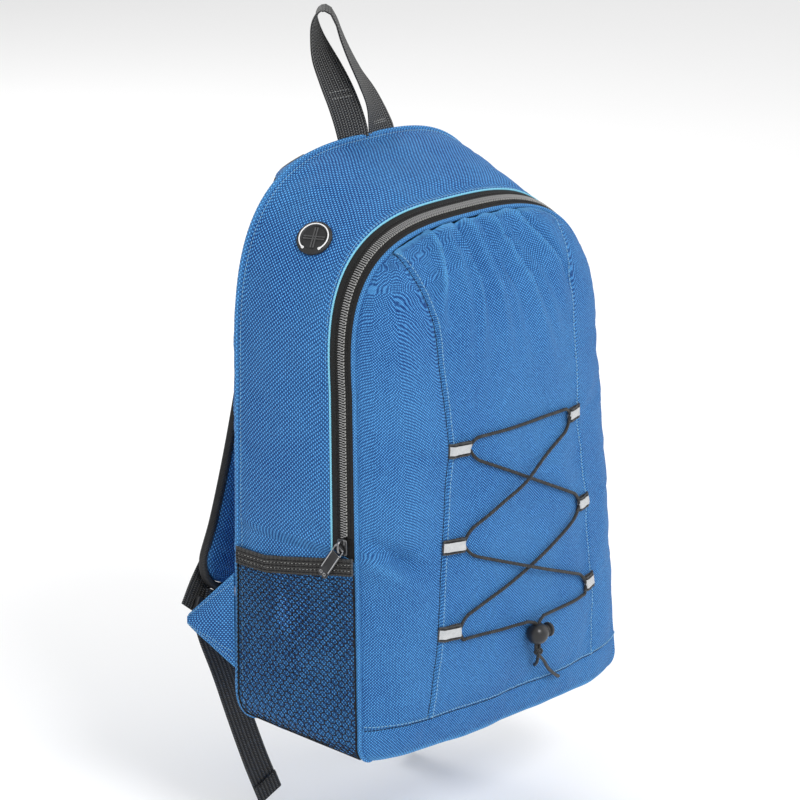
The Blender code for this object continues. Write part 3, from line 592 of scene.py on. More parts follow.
# ---- materials ---------------------------------------------------------------------------
class Finish:
    """A procedural material under construction; values are numbers or node outputs."""

    def __init__(self, name, **settings):
        self.made = bpy.data.materials.new(name)
        self.made.use_nodes = True
        self.tree = self.made.node_tree
        self.shader = self.tree.nodes["Principled BSDF"]
        self.set(**settings)

    def feed(self, socket, value):
        if isinstance(value, bpy.types.NodeSocket):
            self.tree.links.new(value, socket)
        elif isinstance(value, tuple) and len(value) == 3 and socket.type == "RGBA":
            socket.default_value = (*value, 1)
        else:
            socket.default_value = value

    def set(self, **settings):
        """Shader inputs by name, with underscores for spaces."""
        for name, value in settings.items():
            self.feed(self.shader.inputs[name.replace("_", " ")], value)
        return self

    def node(self, kind, **settings):
        made = self.tree.nodes.new(kind)
        for name, value in settings.items():
            setattr(made, name, value)
        return made

    def math(self, operation, a, b=0.0, c=0.0):
        made = self.node("ShaderNodeMath", operation=operation)
        for socket, value in zip(made.inputs, (a, b, c)):
            self.feed(socket, value)
        return made.outputs[0]

    def mix(self, share, a, b):
        """From colour a to colour b."""
        made = self.node("ShaderNodeMix", data_type="RGBA")
        self.feed(made.inputs[0], share)
        self.feed(made.inputs[6], a)
        self.feed(made.inputs[7], b)
        return made.outputs[2]

    def between(self, share, a, b):
        """From number a to number b."""
        return self.math("MULTIPLY_ADD", share, b - a, a)

    def metres(self):
        """The texture coordinates: metres across and along."""
        split = self.node("ShaderNodeSeparateXYZ")
        self.tree.links.new(self.node("ShaderNodeUVMap", uv_map="metres").outputs[0], split.inputs[0])
        return split.outputs[0], split.outputs[1]

    def noise(self, size, detail=2.0):
        """Cloudy variation from 0 to 1 with features of about this size in metres."""
        made = self.node("ShaderNodeTexNoise")
        where = self.node("ShaderNodeTexCoord").outputs["Object"]
        self.tree.links.new(where, made.inputs["Vector"])
        made.inputs["Scale"].default_value = 1 / size
        made.inputs["Detail"].default_value = detail
        return made.outputs[0]

    def contrast(self, value, start, stop):
        made = self.node("ShaderNodeMapRange", interpolation_type="SMOOTHSTEP")
        self.feed(made.inputs[0], value)
        made.inputs[1].default_value = start
        made.inputs[2].default_value = stop
        return made.outputs[0]

    def wave(self, value, pitch):
        """A sine from 0 to 1 along a coordinate."""
        turned = self.math("MULTIPLY", value, 2 * math.pi / pitch)
        return self.math("MULTIPLY_ADD", self.math("SINE", turned), 0.5, 0.5)

    def weave(self, u, v, pitch):
        """Yarn height from 0 to 1, each yarn over one and under the next; and 1 where warp is up."""
        across = self.math("DIVIDE", u, pitch)
        along = self.math("DIVIDE", v, pitch)
        warp = self.math("SINE", self.math("MULTIPLY", self.math("FRACT", across), math.pi))
        weft = self.math("SINE", self.math("MULTIPLY", self.math("FRACT", along), math.pi))
        cell = self.math("ADD", self.math("FLOOR", across), self.math("FLOOR", along))
        turn = self.math("FLOORED_MODULO", cell, 2)
        on_top = self.math("LESS_THAN", turn, 0.5)
        warp_top = self.math("MULTIPLY", warp, self.between(weft, 0.45, 1.0))
        weft_top = self.math("MULTIPLY", weft, self.between(warp, 0.45, 1.0))
        step = self.math("SUBTRACT", warp_top, weft_top)
        return self.math("MULTIPLY_ADD", step, on_top, weft_top), on_top

    def bump(self, height, distance, strength=1.0, below=None):
        made = self.node("ShaderNodeBump")
        made.inputs["Distance"].default_value = distance
        made.inputs["Strength"].default_value = strength
        self.feed(made.inputs["Height"], height)
        if below is not None:
            self.tree.links.new(below, made.inputs["Normal"])
        self.tree.links.new(made.outputs[0], self.shader.inputs["Normal"])
        return made.outputs[0]

    def wear(self, amount):
        """Lighter on raised edges, from 0 to the amount: wear, and on the zip coil a painted highlight."""
        point = self.node("ShaderNodeNewGeometry").outputs["Pointiness"]
        return self.math("MULTIPLY", self.contrast(point, 0.52, 0.60), amount)


def cloth_finish(name, dark, light, pitch, relief, worn=0.08, rubbed=0.35):
    """Coated polyester: painted shade in the gaps and a painted highlight on the yarn crowns, faded a
    little where it is rubbed.
    """
    made = Finish(name, Roughness=0.72, Sheen_Weight=0.05, Sheen_Roughness=0.4)
    made.set(Sheen_Tint=(0.45, 0.70, 1.0), Specular_IOR_Level=0.2)
    u, v = made.metres()
    height, on_top = made.weave(u, v, pitch)
    slub = made.noise(0.0016, 3)
    # painted highlight on the yarn crowns, painted shade in the gaps between them
    lit = made.math("MULTIPLY", height, made.between(on_top, 0.30, 1.0))
    tone = made.math("MULTIPLY_ADD", made.math("SUBTRACT", slub, 0.5), 0.6, lit)
    colour = made.mix(made.contrast(tone, 0.10, 0.80), dark, light)
    drift = made.contrast(made.noise(0.07, 3), 0.3, 0.7)
    faded = tuple(min(1.0, c * 1.25 + 0.02) for c in light)
    colour = made.mix(made.math("MULTIPLY", drift, worn), colour, faded)
    colour = made.mix(made.wear(rubbed), colour, faded)
    made.set(Base_Color=colour, Roughness=made.between(on_top, 0.66, 0.8))
    soft = made.bump(made.noise(0.011, 3), 0.0006, 0.5)
    made.bump(height, relief, 0.9, soft)
    return made.made


def webbing_finish(name, rib, step, top=(0.120, 0.119, 0.116)):
    """Black webbing: yarns in lengthwise ribs, each one slanting across its rib, with a painted highlight
    on the yarn crowns and painted shade between them.
    """
    made = Finish(name, Roughness=0.62, Sheen_Weight=0.04, Specular_IOR_Level=0.3)
    u, v = made.metres()
    ribs = made.math("DIVIDE", u, rib)
    within = made.math("FRACT", ribs)
    lean = made.math("MULTIPLY", made.math("SUBTRACT", made.math("FLOORED_MODULO",
                     made.math("FLOOR", ribs), 2.0), 0.5), 2.0)
    slant = made.math("MULTIPLY_ADD", made.math("MULTIPLY", lean, within), step, v)
    yarn = made.wave(slant, step)
    crown = made.math("SINE", made.math("MULTIPLY", within, math.pi))
    height = made.math("MULTIPLY", made.between(yarn, 0.3, 1.0), crown)
    dust = made.contrast(made.noise(0.004, 4), 0.35, 0.75)
    # painted shade between the yarns and the painted highlight, top, on their crowns
    colour = made.mix(made.contrast(height, 0.30, 0.95), (0.004, 0.004, 0.0045), top)
    colour = made.mix(made.math("MULTIPLY", dust, 0.08), colour, (0.12, 0.12, 0.12))
    made.set(Base_Color=made.mix(made.wear(0.4), colour, (0.16, 0.16, 0.16)))
    made.bump(height, 0.0007, 0.9)
    return made.made


def tape_finish(name):
    """Zip tape: fine herringbone."""
    made = Finish(name, Roughness=0.7, Specular_IOR_Level=0.25)
    u, v = made.metres()
    fold = made.math("PINGPONG", u, 0.0011)
    height = made.wave(made.math("ADD", fold, v), 0.0008)
    made.set(Base_Color=made.mix(height, (0.004, 0.004, 0.0045), (0.032, 0.031, 0.030)))
    made.bump(height, 0.0003, 0.8)
    return made.made


def thread_finish(name, colour):
    """Twisted thread."""
    made = Finish(name, Roughness=0.5, Specular_IOR_Level=0.3)
    u, v = made.metres()
    ply = made.wave(made.math("ADD", u, v), 0.0007)
    deep = tuple(c * 0.5 for c in colour)
    made.set(Base_Color=made.mix(ply, deep, colour))
    made.bump(ply, 0.0002, 0.8)
    return made.made


def braid_finish(name):
    """Braided cord cover: two sets of yarns that cross, with light flecks."""
    made = Finish(name, Roughness=0.5, Specular_IOR_Level=0.4)
    u, v = made.metres()
    one = made.wave(made.math("MULTIPLY_ADD", u, 1.3, v), 0.0019)
    two = made.wave(made.math("MULTIPLY_ADD", u, -1.3, v), 0.0019)
    height = made.math("MAXIMUM", one, two)
    valley = made.math("MINIMUM", one, two)
    colour = made.mix(made.contrast(height, 0.4, 1.0), (0.003, 0.003, 0.003), (0.030, 0.029, 0.028))
    fleck = made.contrast(made.math("MULTIPLY", valley, made.noise(0.004)), 0.42, 0.5)
    made.set(Base_Color=made.mix(fleck, colour, (0.16, 0.155, 0.15)))
    made.bump(height, 0.0004, 0.9)
    return made.made


def plastic_finish(name, colour, rough, grain=0.0009):
    """Moulded plastic or rubber: a fine spark-eroded grain and worn edges."""
    made = Finish(name, Specular_IOR_Level=0.5)
    grainy = made.noise(grain, 3)
    smear = made.contrast(made.noise(0.006, 3), 0.35, 0.7)
    light = tuple(c * 2.2 + 0.02 for c in colour)
    made.set(Base_Color=made.mix(made.wear(0.6), colour, light))
    made.set(Roughness=made.between(smear, rough, rough + 0.14))
    made.bump(grainy, 0.00012, 0.7)
    return made.made


def metal_finish(name, colour, rough):
    """Plated metal with rubbed edges and fine scratches."""
    made = Finish(name, Metallic=1.0)
    scratch = made.node("ShaderNodeTexNoise")
    drawn = made.node("ShaderNodeMapping")
    drawn.inputs["Scale"].default_value = (900, 900, 90)
    made.tree.links.new(made.node("ShaderNodeTexCoord").outputs["Object"], drawn.inputs[0])
    made.tree.links.new(drawn.outputs[0], scratch.inputs["Vector"])
    scratch.inputs["Scale"].default_value = 1.0
    worn = made.wear(0.8)
    made.set(Base_Color=made.mix(worn, colour, (0.45, 0.45, 0.46)))
    made.set(Roughness=made.between(scratch.outputs[0], rough - 0.08, rough + 0.16))
    made.bump(scratch.outputs[0], 0.00005, 0.5)
    return made.made


def reflective_finish(name):
    """Glass-bead tape: tiny beads in a grid on silver."""
    made = Finish(name, Metallic=0.35, Roughness=0.38)
    u, v = made.metres()
    bead = made.math("MULTIPLY", made.wave(u, 0.0007), made.wave(v, 0.0007))
    shade = made.contrast(made.noise(0.003, 3), 0.3, 0.7)
    colour = made.mix(made.contrast(bead, 0.1, 0.6), (0.42, 0.43, 0.44), (0.86, 0.87, 0.88))
    made.set(Base_Color=made.mix(made.math("MULTIPLY", shade, 0.25), colour, (0.38, 0.39, 0.40)))
    made.bump(bead, 0.00012, 0.7)
    return made.made


def coil_finish(name):
    """Nylon coil: dark, with a painted highlight along its rounded tops."""
    made = Finish(name, Roughness=0.32, Specular_IOR_Level=0.6)
    grain = made.noise(0.0008, 2)
    colour = made.mix(grain, (0.014, 0.014, 0.015), (0.060, 0.060, 0.061))
    # painted highlight: the coil's raised tops are lightened towards grey
    made.set(Base_Color=made.mix(made.wear(1.0), colour, (0.30, 0.30, 0.30)))
    made.bump(grain, 0.0001, 0.5)
    return made.made


def foam_finish(name):
    """Open-cell foam board."""
    made = Finish(name, Roughness=0.95)
    cells = made.node("ShaderNodeTexVoronoi")
    made.tree.links.new(made.node("ShaderNodeTexCoord").outputs["Object"], cells.inputs["Vector"])
    cells.inputs["Scale"].default_value = 900
    made.set(Base_Color=made.mix(cells.outputs[0], (0.45, 0.44, 0.42), (0.72, 0.71, 0.68)))
    made.bump(cells.outputs[0], 0.0006, 0.8)
    return made.made


def floor_finish(name):
    """Pale matt studio paper."""
    made = Finish(name, Roughness=0.9)
    made.set(Base_Color=made.mix(made.noise(0.5, 2), (0.92, 0.92, 0.92), (0.94, 0.94, 0.94)))
    made.bump(made.noise(0.004, 3), 0.0002, 0.3)
    return made.made


# The body blue's painted shade in the weave's gaps and painted highlight on its yarn crowns.
BLUE_GAP_SHADE = (0.001, 0.032, 0.180)
BLUE_CROWN_HIGHLIGHT = (0.118, 0.430, 0.900)
BLUE_FRONT = cloth_finish("body_cloth_front", BLUE_GAP_SHADE, BLUE_CROWN_HIGHLIGHT, 0.00115, 0.00040)
BLUE_SIDE = cloth_finish("body_cloth_side", BLUE_GAP_SHADE, BLUE_CROWN_HIGHLIGHT, 0.00160, 0.00055)
BLUE_PAD = cloth_finish("body_cloth_pad", BLUE_GAP_SHADE, BLUE_CROWN_HIGHLIGHT, 0.00160, 0.00050)
BLUE_BACK = cloth_finish("body_cloth_back", BLUE_GAP_SHADE, BLUE_CROWN_HIGHLIGHT, 0.00160, 0.00050, rubbed=0.0)
LINING = cloth_finish("lining", (0.006, 0.060, 0.230), (0.030, 0.160, 0.440), 0.0008, 0.0002, 0.05)
# A lighter copy of the body cloth: the zip's turned edge is a painted highlight.
BLUE_EDGE_HIGHLIGHT = cloth_finish("turned_edge", (0.10, 0.42, 0.75), (0.35, 0.80, 0.95), 0.0009, 0.0003)
# Each top colour below is the painted highlight on that webbing's yarn crowns.
WEBBING = webbing_finish("webbing", 0.0024, 0.0022, top=(0.19, 0.19, 0.185))
TAIL_WEBBING = webbing_finish("tail_webbing", 0.0034, 0.0016)
BINDING = webbing_finish("binding", 0.0060, 0.0012, top=(0.045, 0.045, 0.045))
ELASTIC = webbing_finish("pocket_elastic", 0.0022, 0.0013, top=(0.075, 0.072, 0.068))
ZIP_TAPE = tape_finish("zip_tape")
COIL = coil_finish("zip_coil")
NET = thread_finish("pocket_net", (0.010, 0.010, 0.013))
BLUE_THREAD = thread_finish("blue_thread", (0.36, 0.68, 0.96))
# Dark thread for real stitches whose colour also paints the shade in the seams, hem and back channels.
NAVY_SHADE_THREAD = thread_finish("navy_thread", (0.002, 0.014, 0.075))
BLACK_THREAD = thread_finish("black_thread", (0.03, 0.03, 0.03))
PALE_THREAD = thread_finish("pale_thread", (0.60, 0.60, 0.58))
CORD = braid_finish("elastic_cord")
REFLECTIVE = reflective_finish("reflective_tape")
PLASTIC = plastic_finish("moulded_plastic", (0.014, 0.014, 0.015), 0.28)
RUBBER = plastic_finish("rubber", (0.013, 0.013, 0.014), 0.48, 0.0012)
RUBBER_LIPS = plastic_finish("rubber_lips", (0.034, 0.034, 0.035), 0.40)
PALE_RING = plastic_finish("pale_ring", (0.62, 0.62, 0.62), 0.4)
DARK_METAL = metal_finish("dark_metal", (0.035, 0.035, 0.037), 0.30)
# Bright metal for the pull's raised edges and tip rings, a painted highlight.
PULL_HIGHLIGHT_METAL = metal_finish("bright_metal", (0.62, 0.62, 0.63), 0.25)
STEEL = metal_finish("spring_steel", (0.52, 0.52, 0.53), 0.26)
FOAM = foam_finish("foam")


# ---- front ---------------------------------------------------------------------------------
SEAM_COLUMNS = arr([-0.0020, -0.0010, 0.0, 0.0010, 0.0020])
SEAM_REACH = 0.0032
FRONT_TREE = []  # holds the settled front cloth, for what lies on it
OUTER_COLUMNS = 20
CENTRE_COLUMNS = 47
HEM_ROWS = arr([-0.0020, -0.0010, 0.0, 0.0010, 0.0020])
BAND_ROWS = 6
PANEL_ROWS = 112


def front_seam_share(z):
    """1 where the side panels are wide, less where they run out at the shoulders."""
    return np.clip((half_width(z) * BULGE_EDGE - seam_x(z)) / 0.012, 0.25, 1)


def arch_top(across):
    """Where a column of the centre panel meets the zip, by its share of the way to the seam."""
    top = np.full(across.shape, FRONT_TOP)
    for _ in range(8):
        wide = np.clip(np.abs(across) * seam_x(top) / FRONT_HALF_WIDTH, 0, 1)
        rise = (1 - wide**FRONT_ROUNDNESS) ** (1 / FRONT_ROUNDNESS)
        top = STRAIGHT_TOP + rise * (FRONT_HEIGHT - STRAIGHT_TOP) - (FRONT_HEIGHT - FRONT_TOP)
    return np.minimum(top, FRONT_TOP)


def front_places():
    """(x, z) of the whole front as one grid; its columns keep to the two seams."""
    even = np.linspace(-1, 1, CENTRE_COLUMNS)
    across = even + 0.25 * np.sin(math.pi * even) / math.pi
    tops = arch_top(across)
    share = np.linspace(0, 1, PANEL_ROWS)
    share = 0.6 * share + 0.4 * (1 - (1 - share) ** 2)
    start = HEM_Z + HEM_ROWS[-1] + 0.0015
    band = np.linspace(GAP, HEM_Z + HEM_ROWS[0] - 0.002, BAND_ROWS)
    low_rows = np.concatenate([band, HEM_Z + HEM_ROWS])
    side_z = np.concatenate([low_rows, start + (SHOULDER_Z - start) * share])
    centre_z = np.concatenate([
        np.repeat(low_rows[:, None], CENTRE_COLUMNS, 1),
        start + (tops[None, :] - start) * share[:, None]])
    seam, reach = seam_x(side_z), front_seam_share(side_z)
    right_seam = seam[:, None] + SEAM_COLUMNS * reach[:, None]
    inner = (seam + SEAM_REACH * reach)[:, None]
    outer = (half_width(side_z) * BULGE_EDGE - GAP / 2)[:, None]
    fan = np.sin(np.linspace(0, 1, OUTER_COLUMNS) * math.pi / 2)
    right = np.concatenate([right_seam, inner + (outer - inner) * fan], 1)
    centre_x = across * (seam_x(centre_z) - SEAM_REACH * front_seam_share(centre_z))
    x = np.concatenate([-right[:, ::-1], centre_x, right], 1)
    side_block = np.repeat(side_z[:, None], right.shape[1], 1)
    return x, np.concatenate([side_block, centre_z, side_block], 1)


FAN_DEPTH = 0.0033
DENT_X, DENT_Z, DENT_DEPTH = -0.119, 0.160, 0.0085


def front_relief(x, z):
    """Seams, puckers, the fan of soft folds below the zip and the soft dent at the left edge, as
    a height off the cloth."""
    apart = np.abs(x) - seam_x(z)
    rows = np.exp(-((z - HEM_Z) / 0.0011) ** 2)
    panel = smooth_step(HEM_Z, HEM_Z + 0.004, z)
    groove = np.exp(-(apart / 0.0011) ** 2) * panel
    ridge = np.exp(-((apart + 0.0030) / 0.0016) ** 2) * panel
    relief = -0.0016 * groove + 0.0008 * ridge - 0.0015 * rows
    relief += 0.0007 * np.exp(-((z - HEM_Z - 0.0032) / 0.0016) ** 2)
    pucker = waves(x, z, 4, 0.012, 6, 0.6)
    relief += 0.00045 * pucker * (np.exp(-np.abs(apart) / 0.007) * panel
                                  + np.exp(-np.abs(z - HEM_Z) / 0.006))
    edge = 1 - outline_share(x, z) / BULGE_EDGE
    relief += 0.0007 * waves(x, z, 9, 0.016, 6) * np.exp(-edge / 0.07)
    bearing = np.arctan2(x + 0.012, FRONT_HEIGHT + 0.10 - z)
    fan = np.sin(bearing * 31 + 0.8) + 0.7 * np.sin(bearing * 54 + 2.1) + 0.4 * np.sin(bearing * 83)
    high_up = smooth_step(0.26, 0.385, z) * smooth_step(0.004, -0.02, apart)
    relief += FAN_DEPTH * fan * high_up
    relief += 0.0020 * waves(x, z, 21, 0.085, 5) * smooth_step(0, 0.25, edge)
    relief += 0.0008 * waves(x, z, 33, 0.034, 6) * smooth_step(0, 0.25, edge)
    crease = (z - DENT_Z + 0.7 * (x - DENT_X + 0.003)) / 0.0075
    relief -= DENT_DEPTH * np.exp(-crease**2) * np.exp(-((x - DENT_X) / 0.018) ** 2)
    relief += 0.0048 * np.exp(-(crease + 2.1)**2 / 2) * np.exp(-((x + 0.124) / 0.020) ** 2)
    return relief * smooth_step(0.0, 0.035, edge + 0.012)


def front_cloth():
    """The front's settled cloth as a grid of points."""
    x, z = front_places()
    flat = on_front(x, z, 0.0)
    pins = np.zeros(x.shape)
    pins[0] = pins[-1] = 1
    pins[:, 0] = pins[:, -1] = 1
    seams = np.exp(-((np.abs(x) - seam_x(z)) / 0.003) ** 2)
    hem = np.exp(-((z - HEM_Z) / 0.003) ** 2)
    pins = np.clip(np.maximum(pins, np.maximum(0.85 * seams, 0.9 * hem)), 0, 1)
    pins = np.maximum(pins, smooth_step(0.05, 0.0, 1 - outline_share(x, z) / BULGE_EDGE))
    settled = settle(flat, pins, 1.2, 0.012, 0.0028)
    cloth = settled + front_out(x, z) * front_relief(x, z)[..., None]
    index = np.arange(x.size).reshape(x.shape)
    faces = np.stack([index[:-1, :-1], index[:-1, 1:], index[1:, 1:], index[1:, :-1]], -1)
    FRONT_TREE.append(BVHTree.FromPolygons(cloth.reshape(-1, 3).tolist(), faces.reshape(-1, 4).tolist()))
    return cloth


def make_front():
    cloth = front_cloth()
    hem = BAND_ROWS + 2
    side = OUTER_COLUMNS + 2
    last = cloth.shape[1] - 1 - side
    whole = metric(cloth)
    parts = (("front_left_cloth", np.s_[hem:, :side + 1], ("front_lower_left", "front_flap_left")),
             ("front_centre_cloth", np.s_[hem:, side:last + 1],
              ("front_lower_centre", "front_flap_centre")),
             ("front_right_cloth", np.s_[hem:, last:], ("front_lower_right", "front_flap_right")))
    for name, region, nodes in parts:
        maker = Maker()
        maker.sheet(cloth[region], CLOTH, 0, 1, whole[region])
        bend(maker.build(name, BLUE_FRONT, LINING), nodes, "body_cloth")
    maker = Maker()
    maker.sheet(cloth[:hem + 1], CLOTH, 0, 1, whole[:hem + 1])
    place(maker.build("front_base_cloth", BLUE_FRONT, LINING), "shell", ("front_base_band",), "body_cloth")
    front_stitching(cloth, hem, side, last)


def front_stitching(cloth, hem, side, last):
    """Topstitching beside both seams and above the hem, and dark stitches in the seams and the hem that
    also paint the shade of their grooves.
    """
    normal = -surface_normals(cloth)
    maker = Maker()
    for column, inner in ((side, side + 3), (last, last - 3)):
        stitch_row(maker, cloth[hem + 1:, inner], normal[hem + 1:, inner], *TOPSTITCH)
        # the seam's own row uses the dark thread, its colour a painted shade in the groove
        stitch_row(maker, cloth[hem + 1:, column], normal[hem + 1:, column], *SEAM_STITCH, 1)
    bend(maker.build("front_seam_stitches", BLUE_THREAD, NAVY_SHADE_THREAD), slot="body_cloth")
    maker = Maker()
    stitch_row(maker, cloth[hem + 3], normal[hem + 3], *TOPSTITCH)
    stitch_row(maker, cloth[hem], normal[hem], *SEAM_STITCH, 1)
    place(maker.build("front_hem_stitches", BLUE_THREAD, NAVY_SHADE_THREAD), "shell", slot="body_cloth")


def outline_line(first, final, count):
    """A line along the front outline between two stations."""
    stations = np.linspace(first, final, count)
    return side_flat(stations, 0.0), side_out(stations, 0.02)


def make_front_edge():
    """The turned edge all round the front, where it meets the zip and the side."""
    line, out = outline_line(-1, 5, 500)
    maker = Maker()
    maker.tube(line - out * 0.0012 - arr([0, 0.0002, 0]), 0.0019, 10, hint=(0, -1, 0.1))
    bend(maker.build("front_turned_edge", BLUE_FRONT), slot="body_cloth")


# ---- sides, top, base and back ----------------------------------------------------------------
ZIP_STATION = station_at(ZIP_FOOT_Z, ZIP_MIDDLE / DEPTH)
GUSSET_EDGE = ZIP_BAND / DEPTH + 0.004


def gusset_start(station):
    """Where the side's front edge is: at the front, or behind the zip."""
    level = np.where(station <= 2, station, 4 - station)
    cut = smooth_step(ZIP_STATION - 0.012, ZIP_STATION + 0.002, level)
    return 0.005 + (GUSSET_EDGE - 0.005) * cut


def gusset_relief(station, depth, points):
    """Soft vertical folds on the sides, puckers at both edges and a dimple at the port."""
    level = np.where(station <= 2, station, 4 - station)
    u, v = depth * DEPTH, level * 0.26
    inside = np.clip((depth - gusset_start(station)) / (0.992 - gusset_start(station)), 0, 1)
    middle_part = smooth_step(0, 0.2, inside) * smooth_step(0, 0.2, 1 - inside)
    edge = np.minimum(inside, 1 - inside)
    relief = 0.0011 * waves(u, v * 0.35, 61, 0.055, 6) * middle_part
    relief += 0.0006 * waves(u, v, 66, 0.030, 7) * middle_part
    relief += 0.00045 * waves(u * 0.6, v, 71, 0.013, 6) * np.exp(-edge / 0.06) * smooth_step(0, 0.02, edge)
    centre = side_flat(PORT_STATION, PORT_DEPTH)
    away = np.linalg.norm(points - centre, axis=-1)
    ring = np.exp(-((away - 0.019) / 0.005) ** 2)
    calm = smooth_step(0.014, 0.028, away)
    return relief * calm + 0.0004 * ring


def make_gusset():
    stations = np.concatenate([np.linspace(-1, 0, 18)[:-1], np.linspace(0, 1, 78)[:-1],
                               np.linspace(1, 2, 72)])
    stations = np.concatenate([stations, 4 - stations[-2::-1]])[:, None]
    inside = np.linspace(0, 1, 38)
    inside = inside - 0.10 * np.sin(2 * math.pi * inside) / math.pi
    start = gusset_start(stations)
    depth = start + (0.992 - start) * inside
    puffed = on_side(stations, depth)
    pins = np.zeros(depth.shape)
    pins[:, 0] = pins[:, -1] = pins[0] = pins[-1] = 1
    edge = np.minimum(inside, 1 - inside)[None, :] + 0 * depth
    pins = np.maximum(pins, smooth_step(0.10, 0.0, edge))
    level = np.where(stations <= 2, stations, 4 - stations)
    pins = np.maximum(pins, smooth_step(0.30, 0.0, level) + 0 * depth)
    away = np.linalg.norm(puffed - side_flat(PORT_STATION, PORT_DEPTH), axis=-1)
    pins = np.maximum(pins, smooth_step(0.035, 0.016, away))
    settled = settle(puffed, pins, 1.0, 0.010, 0.0014, flip=True)
    out = side_out(stations + 0 * depth, depth)
    cloth = settled + out * gusset_relief(stations + 0 * depth, depth, puffed)[..., None]
    maker = Maker()
    maker.sheet(cloth, CLOTH, 0, 1, flip=True)
    place(maker.build("side_cloth", BLUE_SIDE, LINING), "shell", ("side_top_gusset",), "body_cloth")
    make_gusset_trim(cloth)


def make_gusset_trim(cloth):
    """Rear seam piping, the turned edge beside the zip, lightened as a painted highlight, and their
    stitches.
    """
    out = surface_normals(cloth)
    maker = Maker()
    stations = np.linspace(-1, 5, 460)
    maker.tube(side_flat(stations, 0.998), 0.0017, 8, hint=(0, 1, 0.1))
    place(maker.build("rear_seam_allowance", BLUE_SIDE), "shell", slot="body_cloth")
    maker = Maker()
    line, lift = zip_line(ZIP_STATION, ZIP_BAND + 0.0009)
    maker.tube(line + lift * 0.0004, 0.0008, 8, hint=(0, 1, 0.1))
    place(maker.build("zip_turned_edge", BLUE_EDGE_HIGHLIGHT), "shell", slot="body_cloth")
    maker = Maker()
    path, ups = zip_line(ZIP_STATION, ZIP_BAND + 0.0042, CLOTH * 0.2)
    stitch_row(maker, path, ups, *ZIP_EDGE_STITCH)
    stitch_row(maker, cloth[:, -3], out[:, -3], *REAR_SEAM_STITCH)
    place(maker.build("side_stitches", BLUE_THREAD), "shell", slot="body_cloth")


def make_base():
    rows, columns = 30, 60
    share = np.linspace(0, 1, rows)[:, None]
    across = np.linspace(-1, 1, columns)[None, :]
    front_x = across * (BASE_HALF_WIDTH - FRONT_CORNER - 0.0005)
    rear_x = across * (BASE_HALF_WIDTH - BACK_CORNER - 0.0005)
    x = front_x + (rear_x - front_x) * share
    front = front_y(front_x, 0.0) + 0.0018
    y = front + (BACK_Y - front) * share
    inside = np.minimum(share * (1 - share), (1 - across**2) / 4) * 4
    z = 0.0006 * np.clip(waves(x, y, 5, 0.045, 6), 0, 1) * smooth_step(0, 0.5, inside)
    maker = Maker()
    maker.sheet(stack(x, y, z), 0.0014, 0, 1, flip=True)
    place(maker.build("base_cloth", BLUE_SIDE, LINING), "shell", ("base_panel",), "body_cloth")
    border = np.concatenate([
        stack(x[0], y[0] + 0.0006, 0.0012), stack(x[1:, -1], y[1:, -1], 0.0012),
        stack(x[-1, -2::-1], y[-1, -2::-1], 0.0012), stack(x[-2:0:-1, 0], y[-2:0:-1, 0], 0.0012),
        stack(x[0, :1], y[0, :1] + 0.0006, 0.0012)])
    maker = Maker()
    maker.tube(resample(border, 260), 0.0012, 8, hint=(0, 0, 1))
    place(maker.build("base_seam_allowance", BLUE_SIDE), "shell", slot="body_cloth")


def back_outline():
    """The back's outline, evenly spaced from the left base round to the right base and along it."""
    level = np.concatenate([np.linspace(-1, 0, 30), np.linspace(0, 1, 40)[1:], np.linspace(1, 2, 70)[1:]])
    x, z = edge_points(level, BACK_HALF_WIDTH, BACK_CORNER, BACK_ARCH)
    line = np.concatenate([stack(x, z), stack(-x[-2::-1], z[-2::-1]), stack(x[:1], z[:1])])
    return resample(line, 221)[:-1]


CHANNEL_HEIGHTS = (0.13, 0.235, 0.34)
CHANNEL_HALF = 0.078
PAD_LOFT = 0.0095


def channel_distance(x, z):
    """Distance to the nearest sewn channel of the padded back."""
    found = np.full(x.shape, 1.0)
    for height in CHANNEL_HEIGHTS:
        beyond = np.maximum(np.abs(x) - CHANNEL_HALF, 0)
        found = np.minimum(found, np.hypot(z - height, beyond))
    return found


def padded_face(outline, shares, hub):
    """Rings of (x, z) from the hub out to the outline."""
    return hub + (outline[None] - hub) * shares[:, None, None]


def make_back():
    hub = arr([0, 0.21])
    shares = np.sin(np.linspace(0.0008, 1, 46) * math.pi / 2)
    rings = padded_face(back_outline(), shares, hub)
    x, z = rings[..., 0], rings[..., 1]
    edge = (1 - shares)[:, None] + 0 * x
    apart = channel_distance(x, z)
    low_part = smooth_step(0.43, 0.30, z)
    loft = PAD_LOFT * (1 - np.exp(-edge / 0.05)) * (0.25 + 0.75 * low_part)
    loft *= 1 - 0.85 * np.exp(-(apart / 0.0065) ** 2)
    face = stack(x, BACK_FACE_Y + loft, z)
    pins = np.maximum(smooth_step(0.03, 0, edge), np.exp(-(apart / 0.004) ** 2))
    pins = np.maximum(pins, smooth_step(0.36, 0.40, z))
    face = settle(face, pins, 1.2, 0.012, 0.0022, wrapped=True)
    face[..., 1] += 0.0007 * waves(x, z, 81, 0.05, 6) * smooth_step(0.0, 0.05, edge) * low_part
    rear = stack(x, BACK_Y + GAP, z)[::-1]
    skin = np.concatenate([face, rear])
    wrapped = np.concatenate([skin, skin[:, :1]], 1)
    maker = Maker()
    maker.loft(skin, uv=wrapped[..., [0, 2]])
    place(maker.build("back_pad", BLUE_BACK), "shell", ("back_panel",), "body_cloth")
    make_channels()
    make_foam(hub)


